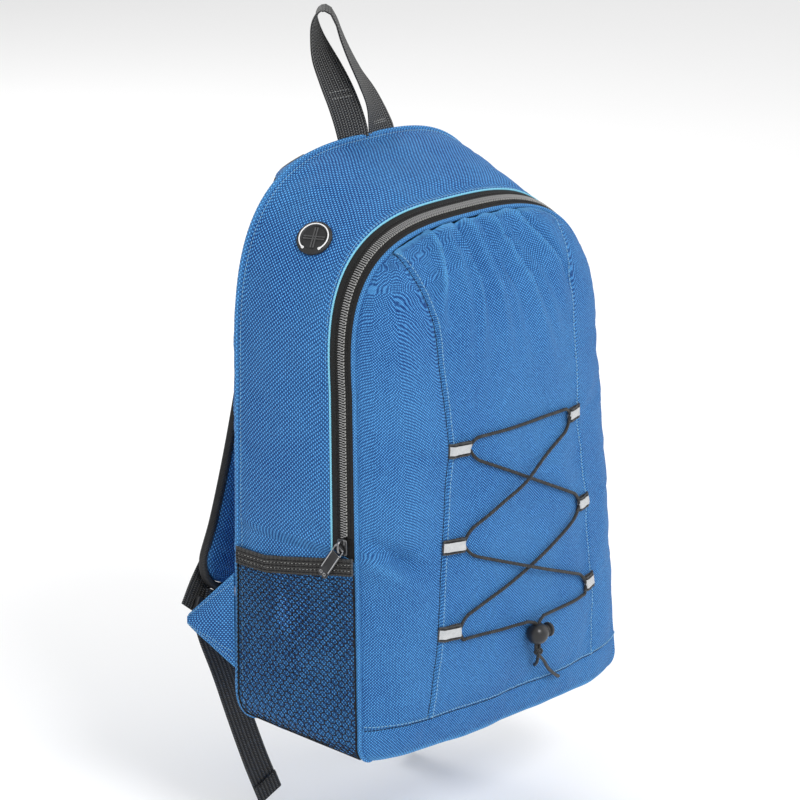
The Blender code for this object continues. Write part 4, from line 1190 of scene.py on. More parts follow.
def make_channels():
    """Two rows of dark stitches along each sewn channel of the back; their colour also paints the channel's
    shade.
    """
    maker = Maker()
    for height in CHANNEL_HEIGHTS:
        for offset in (-0.0016, 0.0016):
            x = np.linspace(-CHANNEL_HALF, CHANNEL_HALF, 80)
            puff = PAD_LOFT * (0.25 + 0.75 * smooth_step(0.43, 0.30, height)) * 0.16
            line = stack(x, BACK_FACE_Y + puff + 0.0003, height + offset)
            stitch_row(maker, line, stack(0 * x, 1.0, 0 * x), *CHANNEL_STITCH)
    place(maker.build("back_channel_stitches", NAVY_SHADE_THREAD), "shell", slot="body_cloth")


def make_foam(hub):
    """The lined board inside the back, with a bound edge."""
    inner_y, outer_y = low("back_foam").y, high("back_foam").y
    outline = back_outline()
    inset = arr([0.0, 0.2]) + (outline - arr([0.0, 0.2])) * 0.94
    shares = np.sin(np.linspace(0.0008, 1, 24) * math.pi / 2)
    rings = padded_face(inset, shares, hub)
    x, z = rings[..., 0], rings[..., 1]
    soft = 0.0012 * (1 - np.exp(-(1 - shares) / 0.03))[:, None]
    front = stack(x, inner_y + 0.0012 - soft, z)[::-1]
    skin = np.concatenate([front, stack(x, outer_y, z)])
    wrapped = np.concatenate([skin, skin[:, :1]], 1)
    maker = Maker()
    maker.loft(skin, uv=wrapped[..., [0, 2]])
    place(maker.build("back_board", FOAM), "shell", ("back_foam",), "foam")
    maker = Maker()
    rim = stack(inset[:, 0], (inner_y + outer_y) / 2, inset[:, 1])
    maker.tube(np.concatenate([rim, rim[:1]]), 0.0024, 8, hint=(0, 1, 0.1))
    place(maker.build("back_board_binding", BINDING), "shell", slot="black_webbing")


# ---- zip -------------------------------------------------------------------------------------
TOOTH_PITCH = 0.0019
FLAP_ZIP_STATION = station_at(low("zip_coil_inner").z, ZIP_MIDDLE / DEPTH)


def tape_piece(name, foot, start, stop):
    """A strip of zip tape between two distances behind the front edge."""
    stations = np.linspace(foot, 4 - foot, 330)[:, None]
    depth = np.linspace(start, stop, 7)[None, :] / DEPTH
    points = side_flat(stations, depth) + side_out(stations + 0 * depth, depth) * 0.0002
    maker = Maker()
    maker.sheet(points, 0.0007, flip=True)
    return maker.build(name, ZIP_TAPE)


def coil_piece(name, foot, distance, phase):
    """One half of the coil: a rounded turn for each tooth, on the tape's edge."""
    line, out = zip_line(foot, distance, 0.0005)
    run = run_length(line)
    at = np.arange(phase, run[-1], TOOTH_PITCH)
    centre = np.stack([np.interp(at, run, line[:, k]) for k in range(3)], -1)
    ups = unit(np.stack([np.interp(at, run, out[:, k]) for k in range(3)], -1))
    along = unit(np.gradient(centre, axis=0))
    across = unit(np.cross(along, ups))
    reach = arr([-1.0, -0.78, -0.3, 0.3, 0.78, 1.0]) * 0.00128
    rise = arr([-0.0004, 0.00035, 0.00055, 0.00055, 0.00035, -0.0004])
    curves = centre[:, None] + across[:, None] * reach[:, None] + ups[:, None] * rise[:, None]
    maker = Maker()
    radii = 0.00046 * arr([0.6, 1, 1.05, 1.05, 1, 0.6])
    maker.threads(curves, ups, radii, sides=6)
    return maker.build(name, COIL)


def tape_stitches(name, foot, side):
    """Stitches beside the coil, pale on the front's tape only, and a dark row out on the tape."""
    maker = Maker()
    line, out = zip_line(foot, ZIP_MIDDLE + side * 0.0035, 0.0005)
    stitch_row(maker, line, out, *COIL_STITCH, 0 if side < 0 else 1)
    line, out = zip_line(foot, ZIP_MIDDLE + side * 0.0066, 0.0006)
    stitch_row(maker, line, out, *TAPE_STITCH, 1)
    return maker.build(name, PALE_THREAD, BLACK_THREAD)


def make_tape_tails():
    """The tape that runs on below the opening panel, sewn down to both sides."""
    low_end, high_end = ZIP_STATION - 0.014, FLAP_ZIP_STATION + 0.010
    depth = np.linspace(0.0006, ZIP_BAND + 0.0010, 12)[None, :] / DEPTH
    maker = Maker()
    for stations in (np.linspace(low_end, high_end, 16), np.linspace(4 - high_end, 4 - low_end, 16)):
        across = stations[:, None]
        points = side_flat(across, depth) - side_out(across + 0 * depth, depth) * 0.0008
        maker.sheet(points, 0.0007, flip=True)
    place(maker.build("zip_tape_tails", ZIP_TAPE), "shell", slot="black_webbing")


def make_zip():
    make_tape_tails()
    inner = FLAP_ZIP_STATION
    bend(tape_piece("zip_tape_front", inner, 0.0004, ZIP_MIDDLE - 0.0001), ("zip_tape_inner",),
         "black_webbing")
    bend(coil_piece("zip_coil_front", inner, ZIP_MIDDLE - 0.0014, 0.0006), ("zip_coil_inner",), "zip_coil")
    bend(tape_stitches("zip_stitches_front", inner, -1), slot="black_webbing")
    place(tape_piece("zip_tape_side", ZIP_STATION, ZIP_MIDDLE + 0.0001, ZIP_BAND + 0.0012), "shell",
          ("zip_tape_outer",), "black_webbing")
    place(coil_piece("zip_coil_side", ZIP_STATION, ZIP_MIDDLE + 0.0014, 0.0014), "shell",
          ("zip_coil_outer",), "zip_coil")
    place(tape_stitches("zip_stitches_side", ZIP_STATION, 1), "shell",
          slot="black_webbing")


def zip_frame():
    """(place, up the zip, outwards, across) at the slider, from its joint and its node."""
    up = Vector(JOINTS["zip_slider_travel"]["axis"]).normalized()
    depth = ZIP_MIDDLE / DEPTH
    z = JOINTS["zip_pull_swing"]["pos_m"][2]
    station = station_at(z, depth)
    out = Vector(side_out(station, depth))
    out = (out - up * out.dot(up)).normalized()
    return Vector(side_flat(station, depth)), up, out, out.cross(up).normalized()


def rounded_block(maker, origin, axes, half, corner, slot=0, crown=0.0):
    """A block with rounded corners: half sizes along three axes, closed all round."""
    a, b, c = (arr(axis) for axis in axes)
    a = a * math.copysign(1, np.dot(np.cross(a, b), c))
    angle = np.linspace(0, math.pi / 2, 4)
    quarter = stack(np.cos(angle), np.sin(angle))
    outline = []
    for sx, sy, turn in ((1, 1, 0), (-1, 1, 1), (-1, -1, 2), (1, -1, 3)):
        cos, sin = math.cos(turn * math.pi / 2), math.sin(turn * math.pi / 2)
        arc = stack(quarter[:, 0] * cos - quarter[:, 1] * sin, quarter[:, 0] * sin + quarter[:, 1] * cos)
        outline.append(arc * corner + arr([sx, sy]) * (arr(half[:2]) - corner))
    outline = np.concatenate(outline)
    edge = min(corner, half[2]) * 0.6
    rings = []
    for inset, height in ((edge, -half[2]), (edge * 0.3, -half[2] + edge * 0.3), (0, -half[2] + edge),
                          (0, half[2] - edge), (edge * 0.3, half[2] - edge * 0.3), (edge, half[2])):
        shrink = (arr(half[:2]) - inset) / arr(half[:2])
        flat = outline * shrink
        lift = height + crown * np.sign(height) * (1 - (flat[:, 1] / half[1]) ** 2) * 0.5
        rings.append(arr(origin) + flat[:, :1] * a + flat[:, 1:] * b + lift[:, None] * c)
    maker.loft(np.array(rings), slot=slot)


def make_slider():
    """Two plates joined by a neck at the top, side guards, and a wire bridge for the pull."""
    where, up, out, across = zip_frame()
    maker = Maker()
    axes = (across, up, out)
    rounded_block(maker, where + out * 0.0024 - up * 0.0004, axes, (0.0047, 0.0062, 0.0007), 0.0022)
    rounded_block(maker, where + out * 0.0030 + up * 0.0035, axes, (0.0030, 0.0022, 0.0008), 0.0010)
    for side in (-1, 1):
        guard = where + across * side * 0.0043 + out * 0.0023 - up * 0.0012
        rounded_block(maker, guard, axes, (0.0005, 0.0048, 0.0007), 0.0004)
    arch = [(0.0022, -0.0046), (0.0052, -0.0044), (0.0070, -0.0030), (0.0075, 0.0),
            (0.0070, 0.0030), (0.0052, 0.0044), (0.0022, 0.0046)]
    path = curve_through([where + out * rise + up * along for rise, along in arch], 24)
    maker.tube(path, 0.0009, 8, hint=across, flat=0.8)
    place(maker.build("zip_slider_body", DARK_METAL), "zip_slider", ("zip_slider",), "dark_metal")


def make_pull():
    """A long flat pull: an eye at the bridge, raised edges and two rings at its tip in bright metal that
    paints their highlights.
    """
    _, up, out, _ = zip_frame()
    hinge = Vector(JOINTS["zip_pull_swing"]["pos_m"])
    flat = Vector(JOINTS["zip_pull_swing"]["axis"]).normalized()
    face = (out - flat * out.dot(flat)).normalized()
    down = flat.cross(face).normalized()
    if down.dot(up) > 0:
        down = -down
    length = (Vector(middle("zip_pull")) - hinge).dot(down) * 2 + 0.0026
    maker = Maker()
    half, thick = 0.0047, 0.0006
    eye_end = 0.0058
    rounded_block(maker, hinge + down * (eye_end + length - 0.0010) / 2, (flat, down, face),
                  (half, (length - 0.0010 - eye_end) / 2, thick), 0.0022)
    for side in (-1, 1):
        rail = [hinge + flat * side * 0.0042 + down * 0.0006, hinge + flat * side * 0.0042 + down * eye_end]
        maker.tube(curve_through(rail, 6), 0.0007, 8, hint=face)
        rib = [hinge + flat * side * 0.0039 + face * 0.0006 + down * (eye_end + 0.0006),
               hinge + flat * side * 0.0039 + face * 0.0006 + down * (length - 0.0075)]
        maker.tube(curve_through(rib, 6), 0.00042, 6, slot=1, hint=face)
        ring = []
        for angle in np.linspace(0, 2 * math.pi, 25):
            centre = hinge + flat * side * 0.0019 + down * (length - 0.0042) + face * 0.0007
            ring.append(centre + flat * 0.0011 * math.cos(angle) + down * 0.0011 * math.sin(angle))
        maker.tube(arr(ring), 0.00030, 6, slot=1, hint=face, caps=False)
    bar = [hinge - flat * 0.0042 + down * 0.0002, hinge + flat * 0.0042 + down * 0.0002]
    maker.tube(curve_through(bar, 8), 0.0008, 8, hint=face)
    place(maker.build("zip_pull_tab", DARK_METAL, PULL_HIGHLIGHT_METAL), "zip_pull", ("zip_pull",), "dark_metal")


# ---- side pockets and cable port ------------------------------------------------------------------
NET_PITCH = 0.0068
NET_ROW = 0.0038
NET_ZIGZAG = 0.0013
NET_LIFT = 0.0022
NET_FOOT = -0.50
NET_DEPTHS = (0.015, 0.985)


def pocket_top(depth):
    return POCKET_FRONT_Z + (POCKET_REAR_Z - POCKET_FRONT_Z) * np.minimum(1, depth * 1.4)


def net_lines():
    """The net's threads as pairs of points (across, up) in metres, over a generous rectangle."""
    width = (NET_DEPTHS[1] - NET_DEPTHS[0]) * DEPTH
    columns = int(width / NET_PITCH * 2) + 3
    rows = int(0.185 / NET_ROW)
    pairs = []
    for row in range(rows):
        shift = row % 2
        for column in range(columns):
            x = (column - 1) * NET_PITCH / 2
            rise = NET_ZIGZAG / 2 * (1 if (column + shift) % 2 else -1)
            z = row * NET_ROW
            pairs.append(((x, z + rise), (x + NET_PITCH / 2, z - rise)))
            if rise > 0:
                pairs.append(((x, z + rise), (x, z + NET_ROW - NET_ZIGZAG / 2)))
    return arr(pairs)


def on_pocket(across, up, side, lift):
    """Points over a side pocket from metres across it and metres up from its foot."""
    stations = np.linspace(NET_FOOT, 1, 200)
    climb = run_length(side_flat(stations, 0.5))
    station = np.interp(up, climb, stations)
    depth = NET_DEPTHS[0] + np.clip(across / DEPTH, 0, NET_DEPTHS[1] - NET_DEPTHS[0])
    station = station if side < 0 else 4 - station
    lift = lift * (0.25 + 0.75 * smooth_step(0, 0.025, up))
    return on_side(station, depth, lift), side_out(station, depth)


def make_net(prefix, side):
    """An open net of knitted thread, drawn together where the elastic gathers it."""
    pairs = net_lines()
    across, up = pairs[..., 0], pairs[..., 1]
    depth = NET_DEPTHS[0] + np.clip(across / DEPTH, 0, 1)
    stations = np.linspace(NET_FOOT, 1, 200)
    climb = run_length(side_flat(stations, 0.5))
    seams = pocket_top(depth) - ELASTIC_WIDTH + 0.001
    top = np.interp(seams, side_flat(stations, 0.5)[:, 2], climb)
    share = up / top
    up = top * (0.72 * share + 0.28 * (1 - (1 - np.clip(share, 0, 1)) ** 2))
    wander = 0.0010 * waves(across, up, 12, 0.045, 5)
    across = across + wander
    width = (NET_DEPTHS[1] - NET_DEPTHS[0]) * DEPTH
    inside = (share.min(1) < 1) & (across.max(1) > 0) & (across.min(1) < width)
    across, up = across[inside], np.minimum(up, top)[inside]
    steps = np.linspace(0, 1, 4)
    a = across[:, :1] + (across[:, 1:] - across[:, :1]) * steps
    b = up[:, :1] + (up[:, 1:] - up[:, :1]) * steps
    sway = 0.0006 * waves(a, b, 15, 0.02, 4)
    points, out = on_pocket(a, b, side, NET_LIFT + sway)
    length = np.linalg.norm(points[:, -1] - points[:, 0], axis=-1)
    points, out = points[length > 0.0005], out[length > 0.0005]
    maker = Maker()
    maker.threads(points, out[:, 1], 0.00036, sides=6)
    knots = points[:, 0][:, None] + out[:, :1] * arr([-0.0006, 0.0, 0.0006])[:, None]
    sideways = unit(np.cross(out[:, 0], arr([0.1, 0.2, 1.0])))
    maker.threads(knots, sideways, arr([0.0003, 0.00052, 0.0003]), sides=6)
    for depth in (np.linspace(*NET_DEPTHS, 60), np.full(60, NET_DEPTHS[0]), np.full(60, NET_DEPTHS[1])):
        corner_z = FRONT_CORNER + (BACK_CORNER - FRONT_CORNER) * depth
        top = (pocket_top(depth) - ELASTIC_WIDTH - corner_z) / (STRAIGHT_TOP - corner_z)
        share = np.linspace(0, 1, 60) if depth[0] == depth[-1] else np.zeros(60)
        station = mirrored_station(NET_FOOT + (top - NET_FOOT) * share, side)
        maker.tube(on_side(station, depth, 0.0007), 0.0006, 8)
    net = maker.build(prefix + "_pocket_net", NET)
    place(net, "shell", (prefix + "_mesh_pocket",), "pocket_mesh")


def elastic_lines(side, rows, columns):
    depth = np.linspace(*NET_DEPTHS, columns)
    tops = pocket_top(depth)
    result = []
    for share in np.linspace(0, 1, rows):
        z = tops - ELASTIC_WIDTH * (1 - share)
        corner_z = FRONT_CORNER + (BACK_CORNER - FRONT_CORNER) * depth
        station = (z - corner_z) / (STRAIGHT_TOP - corner_z)
        result.append(station)
    station = np.array(result)
    station = station if side < 0 else 4 - station
    return station, np.broadcast_to(depth, station.shape)


def make_elastic(prefix, side):
    """Ribbed elastic with light stitches, gathering the pocket's mouth."""
    station, depth = elastic_lines(side, 33, 170)
    share = np.linspace(0, 1, 33)[:, None]
    ribs = 0.00035 * np.abs(np.sin(share * math.pi * 6)) ** 0.7
    ruche = 0.00030 * np.sin(depth * DEPTH * 2 * math.pi / 0.0046 + 0.7 * np.sin(share * 9))
    points = on_side(station, depth, 0.0030 + ribs + ruche)
    maker = Maker()
    maker.sheet(points, 0.0016, uv=metric(points)[..., ::-1], flip=side < 0)
    place(maker.build(prefix + "_pocket_band", ELASTIC), "shell", (prefix + "_pocket_elastic",),
          "black_webbing")
    maker = Maker()
    for row in (11, 22):
        line = points[row]
        out = side_out(station[row], depth[row])
        stitch_row(maker, line + out * 0.0001, out, *ELASTIC_STITCH)
    place(maker.build(prefix + "_pocket_band_stitches", PALE_THREAD), "shell", slot="black_webbing")
    maker = Maker()
    out = side_out(station[-1], depth[-1])
    maker.tube(points[-1] - out * 0.0008, 0.0010, 8, hint=(0, 0, 1))
    place(maker.build(prefix + "_pocket_mouth", BINDING), "shell", slot="black_webbing")


def make_port():
    """A rubber grommet: a domed rim, a slit membrane and a pale open ring of no maker's design."""
    depth, station = PORT_DEPTH, PORT_STATION
    puff = float(side_puff(station, depth))
    out = arr(side_out(station, depth))
    centre = arr(side_flat(station, depth)) + out * puff
    level = unit(np.cross([0, 0, 1.0], out))
    upright = np.cross(out, level)
    radius = (high("cable_port").y - low("cable_port").y) / 2 + 0.0003
    profile = [(0.50, 0.0017), (0.66, 0.0018), (0.70, 0.0026), (0.76, 0.0031), (0.86, 0.0032),
               (0.95, 0.0026), (1.0, 0.0012), (0.97, 0.0001), (0.70, -0.0004), (0.66, -0.0040),
               (0.80, -0.0044), (0.80, -0.0050)]
    angle = np.linspace(0, 2 * math.pi, 56, endpoint=False)[:, None]
    ring = level * np.cos(angle) + upright * np.sin(angle)
    rings = np.array([centre + ring * radius * share + out * rise for share, rise in profile])
    maker = Maker()
    maker.loft(rings)
    for direction, crossing in ((level, upright), (upright, level)):
        for side in (-1, 1):
            lip = [centre + direction * radius * s + crossing * side * 0.0010 + out * 0.0020
                   for s in (-0.60, -0.3, 0.0, 0.3, 0.60)]
            maker.tube(curve_through(lip, 14), 0.00075, 8, slot=2, hint=out)
    arc = []
    for turn in np.linspace(-0.80 * math.pi, 0.80 * math.pi, 40):
        way = upright * math.cos(turn) + level * math.sin(turn)
        arc.append(centre + way * radius * 0.80 + out * 0.0033)
    maker.tube(arr(arc), 0.00052, 8, slot=1, hint=out)
    for side in (0, -1):
        way = arc[side] - arc[side - 1 if side else 1]
        rounded_block(maker, arc[side], (unit(way), np.cross(out, unit(way)), out),
                      (0.0011, 0.0010, 0.0005), 0.0006, slot=1)
    place(maker.build("cable_grommet", RUBBER, PALE_RING, RUBBER_LIPS), "shell", ("cable_port",), "rubber")


def make_pockets():
    for prefix, side in SIDES:
        make_net(prefix, side)
        make_elastic(prefix, side)


# ---- lacing ------------------------------------------------------------------------------------------
CORD_RADIUS = 0.0013
CORD_LIFT = 0.0026
CORD_CROSSING = 0.0034
LOOP_REACH = 0.016
LOOP_WIDTH = high("left_lower_cord_loop").z - low("left_lower_cord_loop").z - GAP
STRIP_SHARE = 0.60
ROWS = ("upper", "middle", "lower")


def loop_place(side, row):
    """Where the cord runs through a loop: (x, z)."""
    z = middle(f"left_{row}_cord_loop").z
    return side * (float(seam_x(z)) - LOOP_REACH), z


def on_cloth(x, z, lift):
    """Points off the settled front cloth, smoothed along the way."""
    flat = on_front(x, z, lift)
    out = front_out(arr(x), arr(z))
    needed = []
    for place_x, place_z in zip(np.ravel(x), np.ravel(z)):
        hit = FRONT_TREE[0].ray_cast(Vector((place_x, -1, place_z)), Vector((0, 1, 0)))[0]
        needed.append(hit.y if hit else 0.0)
    needed = arr(needed).reshape(np.shape(x)) + (out * arr(lift)[..., None])[..., 1]
    flat[..., 1] = np.minimum(needed, np.maximum(flat[..., 1], needed - 0.0008))
    return flat


def tape_fold(side, z, half, lift):
    """Tape folded round the cord, as a grid across its width and along its fold."""
    angle = np.linspace(-math.pi / 2, math.pi / 2, 13)
    reach = np.concatenate([np.linspace(0, LOOP_REACH, 12), LOOP_REACH + 0.0019 * np.cos(angle),
                            np.linspace(LOOP_REACH, 0, 14)[1:]])
    rise = np.concatenate([np.full(12, 0.0007), 0.0026 + 0.0019 * np.sin(angle),
                           0.0018 + 0.0027 * np.linspace(1, 0, 14)[1:] ** 0.7])
    heights = z + np.linspace(-half, half, 9)[:, None]
    seam = seam_x(heights) + 0.0004
    x = side * (seam - reach[None, :])
    away = np.concatenate([np.full(18, -1.0), np.full(len(reach) - 18, 1.0)])
    return on_cloth(x, heights + 0 * x, (rise + away * lift)[None, :] + 0 * x)


def make_cord_loop(prefix, side, row):
    """Black tape with a reflective strip, folded round the cord and sewn in the seam."""
    _, z = loop_place(side, row)
    maker = Maker()
    tape = tape_fold(side, z, LOOP_WIDTH / 2, 0.0)
    maker.sheet(tape, 0.0004, 0, flip=side < 0)
    strip = tape_fold(side, z, LOOP_WIDTH / 2 * STRIP_SHARE, 0.00035)
    maker.sheet(strip, 0.0003, 1, flip=side < 0)
    upper = tape[:, 26:]
    out = front_out(upper[0, :, 0], upper[0, :, 2])
    for edge in (1, -2):
        stitch_row(maker, upper[edge], out, *LOOP_STITCH, 2)
    piece = maker.build(f"{prefix}_{row}_loop", BINDING, REFLECTIVE, BLACK_THREAD)
    place(piece, "front_flap" if row == "upper" else "shell", (f"{prefix}_{row}_cord_loop",),
          "reflective_tape")


def cord_run(start, end, leave, arrive, crossing=0.0):
    """A strand from the middle of one loop to the middle of the next."""
    half = LOOP_WIDTH / 2 + 0.0015
    first = (start[0], start[1] + half * leave)
    last = (end[0], end[1] - half * arrive)
    share = np.linspace(0, 1, 34)
    x = first[0] + (last[0] - first[0]) * share
    z = first[1] + (last[1] - first[1]) * share
    lift = CORD_LIFT + crossing * np.exp(-((share - 0.5) / 0.16) ** 2)
    x = np.concatenate([[start[0]], x[1:-1], [end[0]]])
    z = np.concatenate([[start[1]], z[1:-1], [end[1]]])
    lift = np.concatenate([[CORD_LIFT], lift[1:-1], [CORD_LIFT]])
    points = on_cloth(x, z, lift)
    for _ in range(2):
        points[1:-1] = (points[:-2] + 2 * points[1:-1] + points[2:]) / 4
    return curve_through(points, 150)


def cord_to_lock(loop, side, leave):
    """A strand from a lower loop down to the cord lock, ending inside it."""
    lock = middle("cord_lock_barrel")
    half = LOOP_WIDTH / 2 + 0.0015
    share = np.linspace(0, 1, 22)
    first = (loop[0], loop[1] + half * leave)
    last = (lock.x + side * 0.0060, lock.z + 0.0115)
    x = first[0] + (last[0] - first[0]) * share
    z = first[1] + (last[1] - first[1]) * share
    lift = CORD_LIFT + 0.0034 * share**2
    points = on_cloth(x, z, lift)
    head = on_cloth(arr([loop[0]]), arr([loop[1]]), arr([CORD_LIFT]))
    gap = side * 0.0019
    inside = arr([[lock.x + gap, lock.y, lock.z + 0.0085], [lock.x + gap, lock.y, lock.z + 0.0030]])
    return curve_through(np.concatenate([head, points[1:-1], inside]), 130)


def cord_piece(name, path):
    maker = Maker()
    maker.tube(path, CORD_RADIUS, 12, hint=(0, -1, 0.2))
    return maker.build(name, CORD)


def make_cord():
    place_of = {(side, row): loop_place(side, row) for side in (-1, 1) for row in ROWS}
    runs = (("cord_left_low_to_right_middle", (-1, "lower"), (1, "middle"), 1, 1, 0.0),
            ("cord_right_middle_to_left_top", (1, "middle"), (-1, "upper"), 1, 1, 0.0),
            ("cord_across_top", (-1, "upper"), (1, "upper"), 1, -1, 0.0),
            ("cord_right_top_to_left_middle", (1, "upper"), (-1, "middle"), -1, -1, CORD_CROSSING),
            ("cord_left_middle_to_right_low", (-1, "middle"), (1, "lower"), -1, -1, CORD_CROSSING))
    nodes = ("elastic_cord",)
    for name, start, end, leave, arrive, crossing in runs:
        path = cord_run(place_of[start], place_of[end], leave, arrive, crossing)
        piece = cord_piece(name, path)
        if name == "cord_across_top":
            place(piece, "front_flap", slot="elastic_cord")
        elif "top" in name:
            bend(piece, slot="elastic_cord")
        else:
            place(piece, "shell", nodes, "elastic_cord")
    lock = middle("cord_lock_barrel")
    for name, side, leave in (("cord_left_low_to_lock", -1, -1), ("cord_right_low_to_lock", 1, -1)):
        loop = place_of[side, "lower"]
        path = cord_to_lock(loop, side, leave)
        piece = cord_piece(name, path)
        stretch(piece, "shell", "cord_lock", path[6], path[-14], slot="elastic_cord")
    for name, side in (("cord_in_lock_left", -1), ("cord_in_lock_right", 1)):
        gap = side * 0.0019
        path = [(lock.x + gap, lock.y, lock.z + rise) for rise in (-0.0125, -0.0040, 0.0040)]
        place(cord_piece(name, curve_through(path, 20)), "shell", slot="elastic_cord")
    make_knot(lock)


def make_knot(lock):
    """An overhand knot below the lock, and the cord's two sealed ends lying on the cloth."""
    centre = arr([lock.x + 0.001, lock.y, lock.z - 0.0155])
    turn = np.linspace(0, 2 * math.pi, 70)
    ring = stack(np.sin(turn) + 2 * np.sin(2 * turn), 0.9 * -np.sin(3 * turn),
                 np.cos(turn) - 2 * np.cos(2 * turn)) * 0.00105
    maker = Maker()
    maker.tube(centre + ring, CORD_RADIUS, 12, caps=False)
    maker.tube(centre + ring[:3] * 0.2 + arr([[0, 0, -0.001], [0, 0, 0], [0, 0, 0.001]]), 0.0016, 8)
    short_end = on_cloth(arr([0.0125]), arr([0.0445]), arr([0.0024]))
    long_end = on_cloth(arr([0.014, 0.024, 0.036, 0.047]), arr([0.050, 0.040, 0.031, 0.0245]),
                        arr([0.0090, 0.0055, 0.0038, 0.0026]))
    drop = centre + arr([[0.0, 0, -0.002], [0.002, 0.003, -0.009]])
    for path in (np.concatenate([drop, short_end]), np.concatenate([drop[:1], long_end])):
        line = curve_through(path, 60)
        radius = np.full(60, CORD_RADIUS)
        radius[-3:] = CORD_RADIUS * arr([1.15, 1.2, 0.8])
        maker.tube(line, radius, 12, hint=(0, -1, 0.2))
    place(maker.build("cord_knot_and_ends", CORD), "shell", ("cord_knot",), "elastic_cord")


def lathe(profile, origin, axis):
    """Rings of a turned form: (along, radius) pairs about an axis."""
    axis = arr(axis)
    first = unit(np.cross(axis, [0.0, 0.31, 0.95]))
    second = np.cross(axis, first)
    angle = np.linspace(0, 2 * math.pi, 40, endpoint=False)[:, None]
    ring = first * np.cos(angle) + second * np.sin(angle)
    return np.array([arr(origin) + axis * along + ring * radius for along, radius in profile])


def carve(piece, cutter):
    """Cuts one piece from another with an exact Boolean, and deletes the cutter."""
    step = piece.modifiers.new("carve", "BOOLEAN")
    step.solver = "EXACT"
    step.object = cutter
    bpy.context.view_layer.update()
    graph = bpy.context.evaluated_depsgraph_get()
    piece.data = bpy.data.meshes.new_from_object(piece.evaluated_get(graph))
    piece.modifiers.clear()
    bpy.data.objects.remove(cutter)
    return piece


def make_cord_lock():
    """A turned barrel with the cords' way cut through it, its sprung plunger and the spring."""
    centre = middle("cord_lock_barrel")
    radius = (high("cord_lock_barrel").x - low("cord_lock_barrel").x) / 2 + 0.0007
    floor, seat = -radius + 0.0021, -radius + 0.0012
    turn = np.linspace(math.pi * 0.985, 0.62, 22)
    profile = [(radius * math.cos(a), radius * math.sin(a) * 0.96) for a in turn]
    rim = profile[-1]
    profile += [(rim[0] + 0.0007, rim[1] + 0.0003), (rim[0] + 0.0016, rim[1] + 0.0003),
                (rim[0] + 0.0020, rim[1] - 0.0002), (rim[0] + 0.0018, 0.0047), (floor, 0.0046),
                (floor, 0.0030), (seat, 0.0029)]
    maker = Maker()
    maker.loft(lathe(profile, centre, (1, 0, 0)))
    barrel = maker.build("cord_lock_body", PLASTIC, crease=35)
    maker = Maker()
    rounded_block(maker, centre, ((1, 0, 0), (0, 1, 0), (0, 0, 1)), (0.0042, 0.0019, 0.014), 0.0017)
    carve(barrel, maker.build("cord_way", PLASTIC))
    place(barrel, "cord_lock", ("cord_lock_barrel",), "moulded_plastic")
    stem = [(-0.0042, 0.0020), (-0.0044, 0.0036), (-0.0036, 0.0041), (rim[0] + 0.0041, 0.0041),
            (rim[0] + 0.0045, 0.0052), (rim[0] + 0.0049, 0.0056), (rim[0] + 0.0063, 0.0056),
            (rim[0] + 0.0069, 0.0051), (rim[0] + 0.0071, 0.0042), (rim[0] + 0.0069, 0.0020)]
    maker = Maker()
    maker.loft(lathe(stem, centre, (1, 0, 0)))
    for turn in np.linspace(0, 2 * math.pi, 20, endpoint=False):
        way = arr([0, math.cos(turn), math.sin(turn)]) * 0.0056
        path = arr(centre) + way + arr([[rim[0] + 0.0049, 0, 0], [rim[0] + 0.0056, 0, 0],
                                        [rim[0] + 0.0063, 0, 0]])
        maker.tube(path, 0.00035, 6)
    plunger = maker.build("cord_lock_button", PLASTIC, crease=35)
    maker = Maker()
    rounded_block(maker, centre + Vector((0.0015, 0, 0)), ((1, 0, 0), (0, 1, 0), (0, 0, 1)),
                  (0.0052, 0.0018, 0.014), 0.0016)
    carve(plunger, maker.build("button_way", PLASTIC))
    place(plunger, "cord_lock_plunger", ("cord_lock_plunger",), "moulded_plastic")
    turns = np.linspace(0, 2.2 * 2 * math.pi, 90)
    coil = stack(np.linspace(seat + 0.0003, -0.0047, 90), 0.0026 * np.cos(turns), 0.0026 * np.sin(turns))
    maker = Maker()
    maker.tube(arr(centre) + coil, 0.0002, 6, hint=(1, 0, 0))
    spring = maker.build("cord_lock_coil_spring", STEEL)
    foot, head = centre + Vector((seat + 0.0003, 0, 0)), centre + Vector((-0.0047, 0, 0))
    stretch(spring, "cord_lock", "cord_lock_plunger", foot, head, ("cord_lock_spring",), "spring_steel")


def make_lacing():
    for prefix, side in SIDES:
        for row in ROWS:
            make_cord_loop(prefix, side, row)
    make_cord()
    make_cord_lock()


# ---- webbing, straps and haul loop --------------------------------------------------------------------
WEBBING_WIDTH = 0.030
HAUL_THICK = 0.0017
TAIL_THICK = 0.0015
ADJUSTER_THICK = 0.0013


def webbing(maker, line, wide, width, thickness):
    """Webbing along a line, with full rounded selvedges; wide is the direction across it."""
    line, wide = arr(line), unit(arr(wide))
    along = unit(np.gradient(line, axis=0))
    wide = unit(wide - along * np.sum(wide * along, -1, keepdims=True))
    normal = np.cross(along, wide)
    across = np.concatenate([np.linspace(-0.5, 0.5, 17), np.linspace(0.5, -0.5, 17)])
    face = np.concatenate([np.full(17, 1.0), np.full(17, -1.0)])
    edge = np.abs(across) * 2
    swell = np.where(edge > 0.99, 0.35, np.where(edge > 0.85, 1.12, 1.0))
    rings = (line[:, None] + wide[:, None] * (across * width)[:, None]
             + normal[:, None] * (face * swell * thickness / 2)[:, None])
    around = np.concatenate([across, across[:1]]) * width
    maker.loft(rings, uv=stack(around[None, :], run_length(line)[:, None]))
    return normal


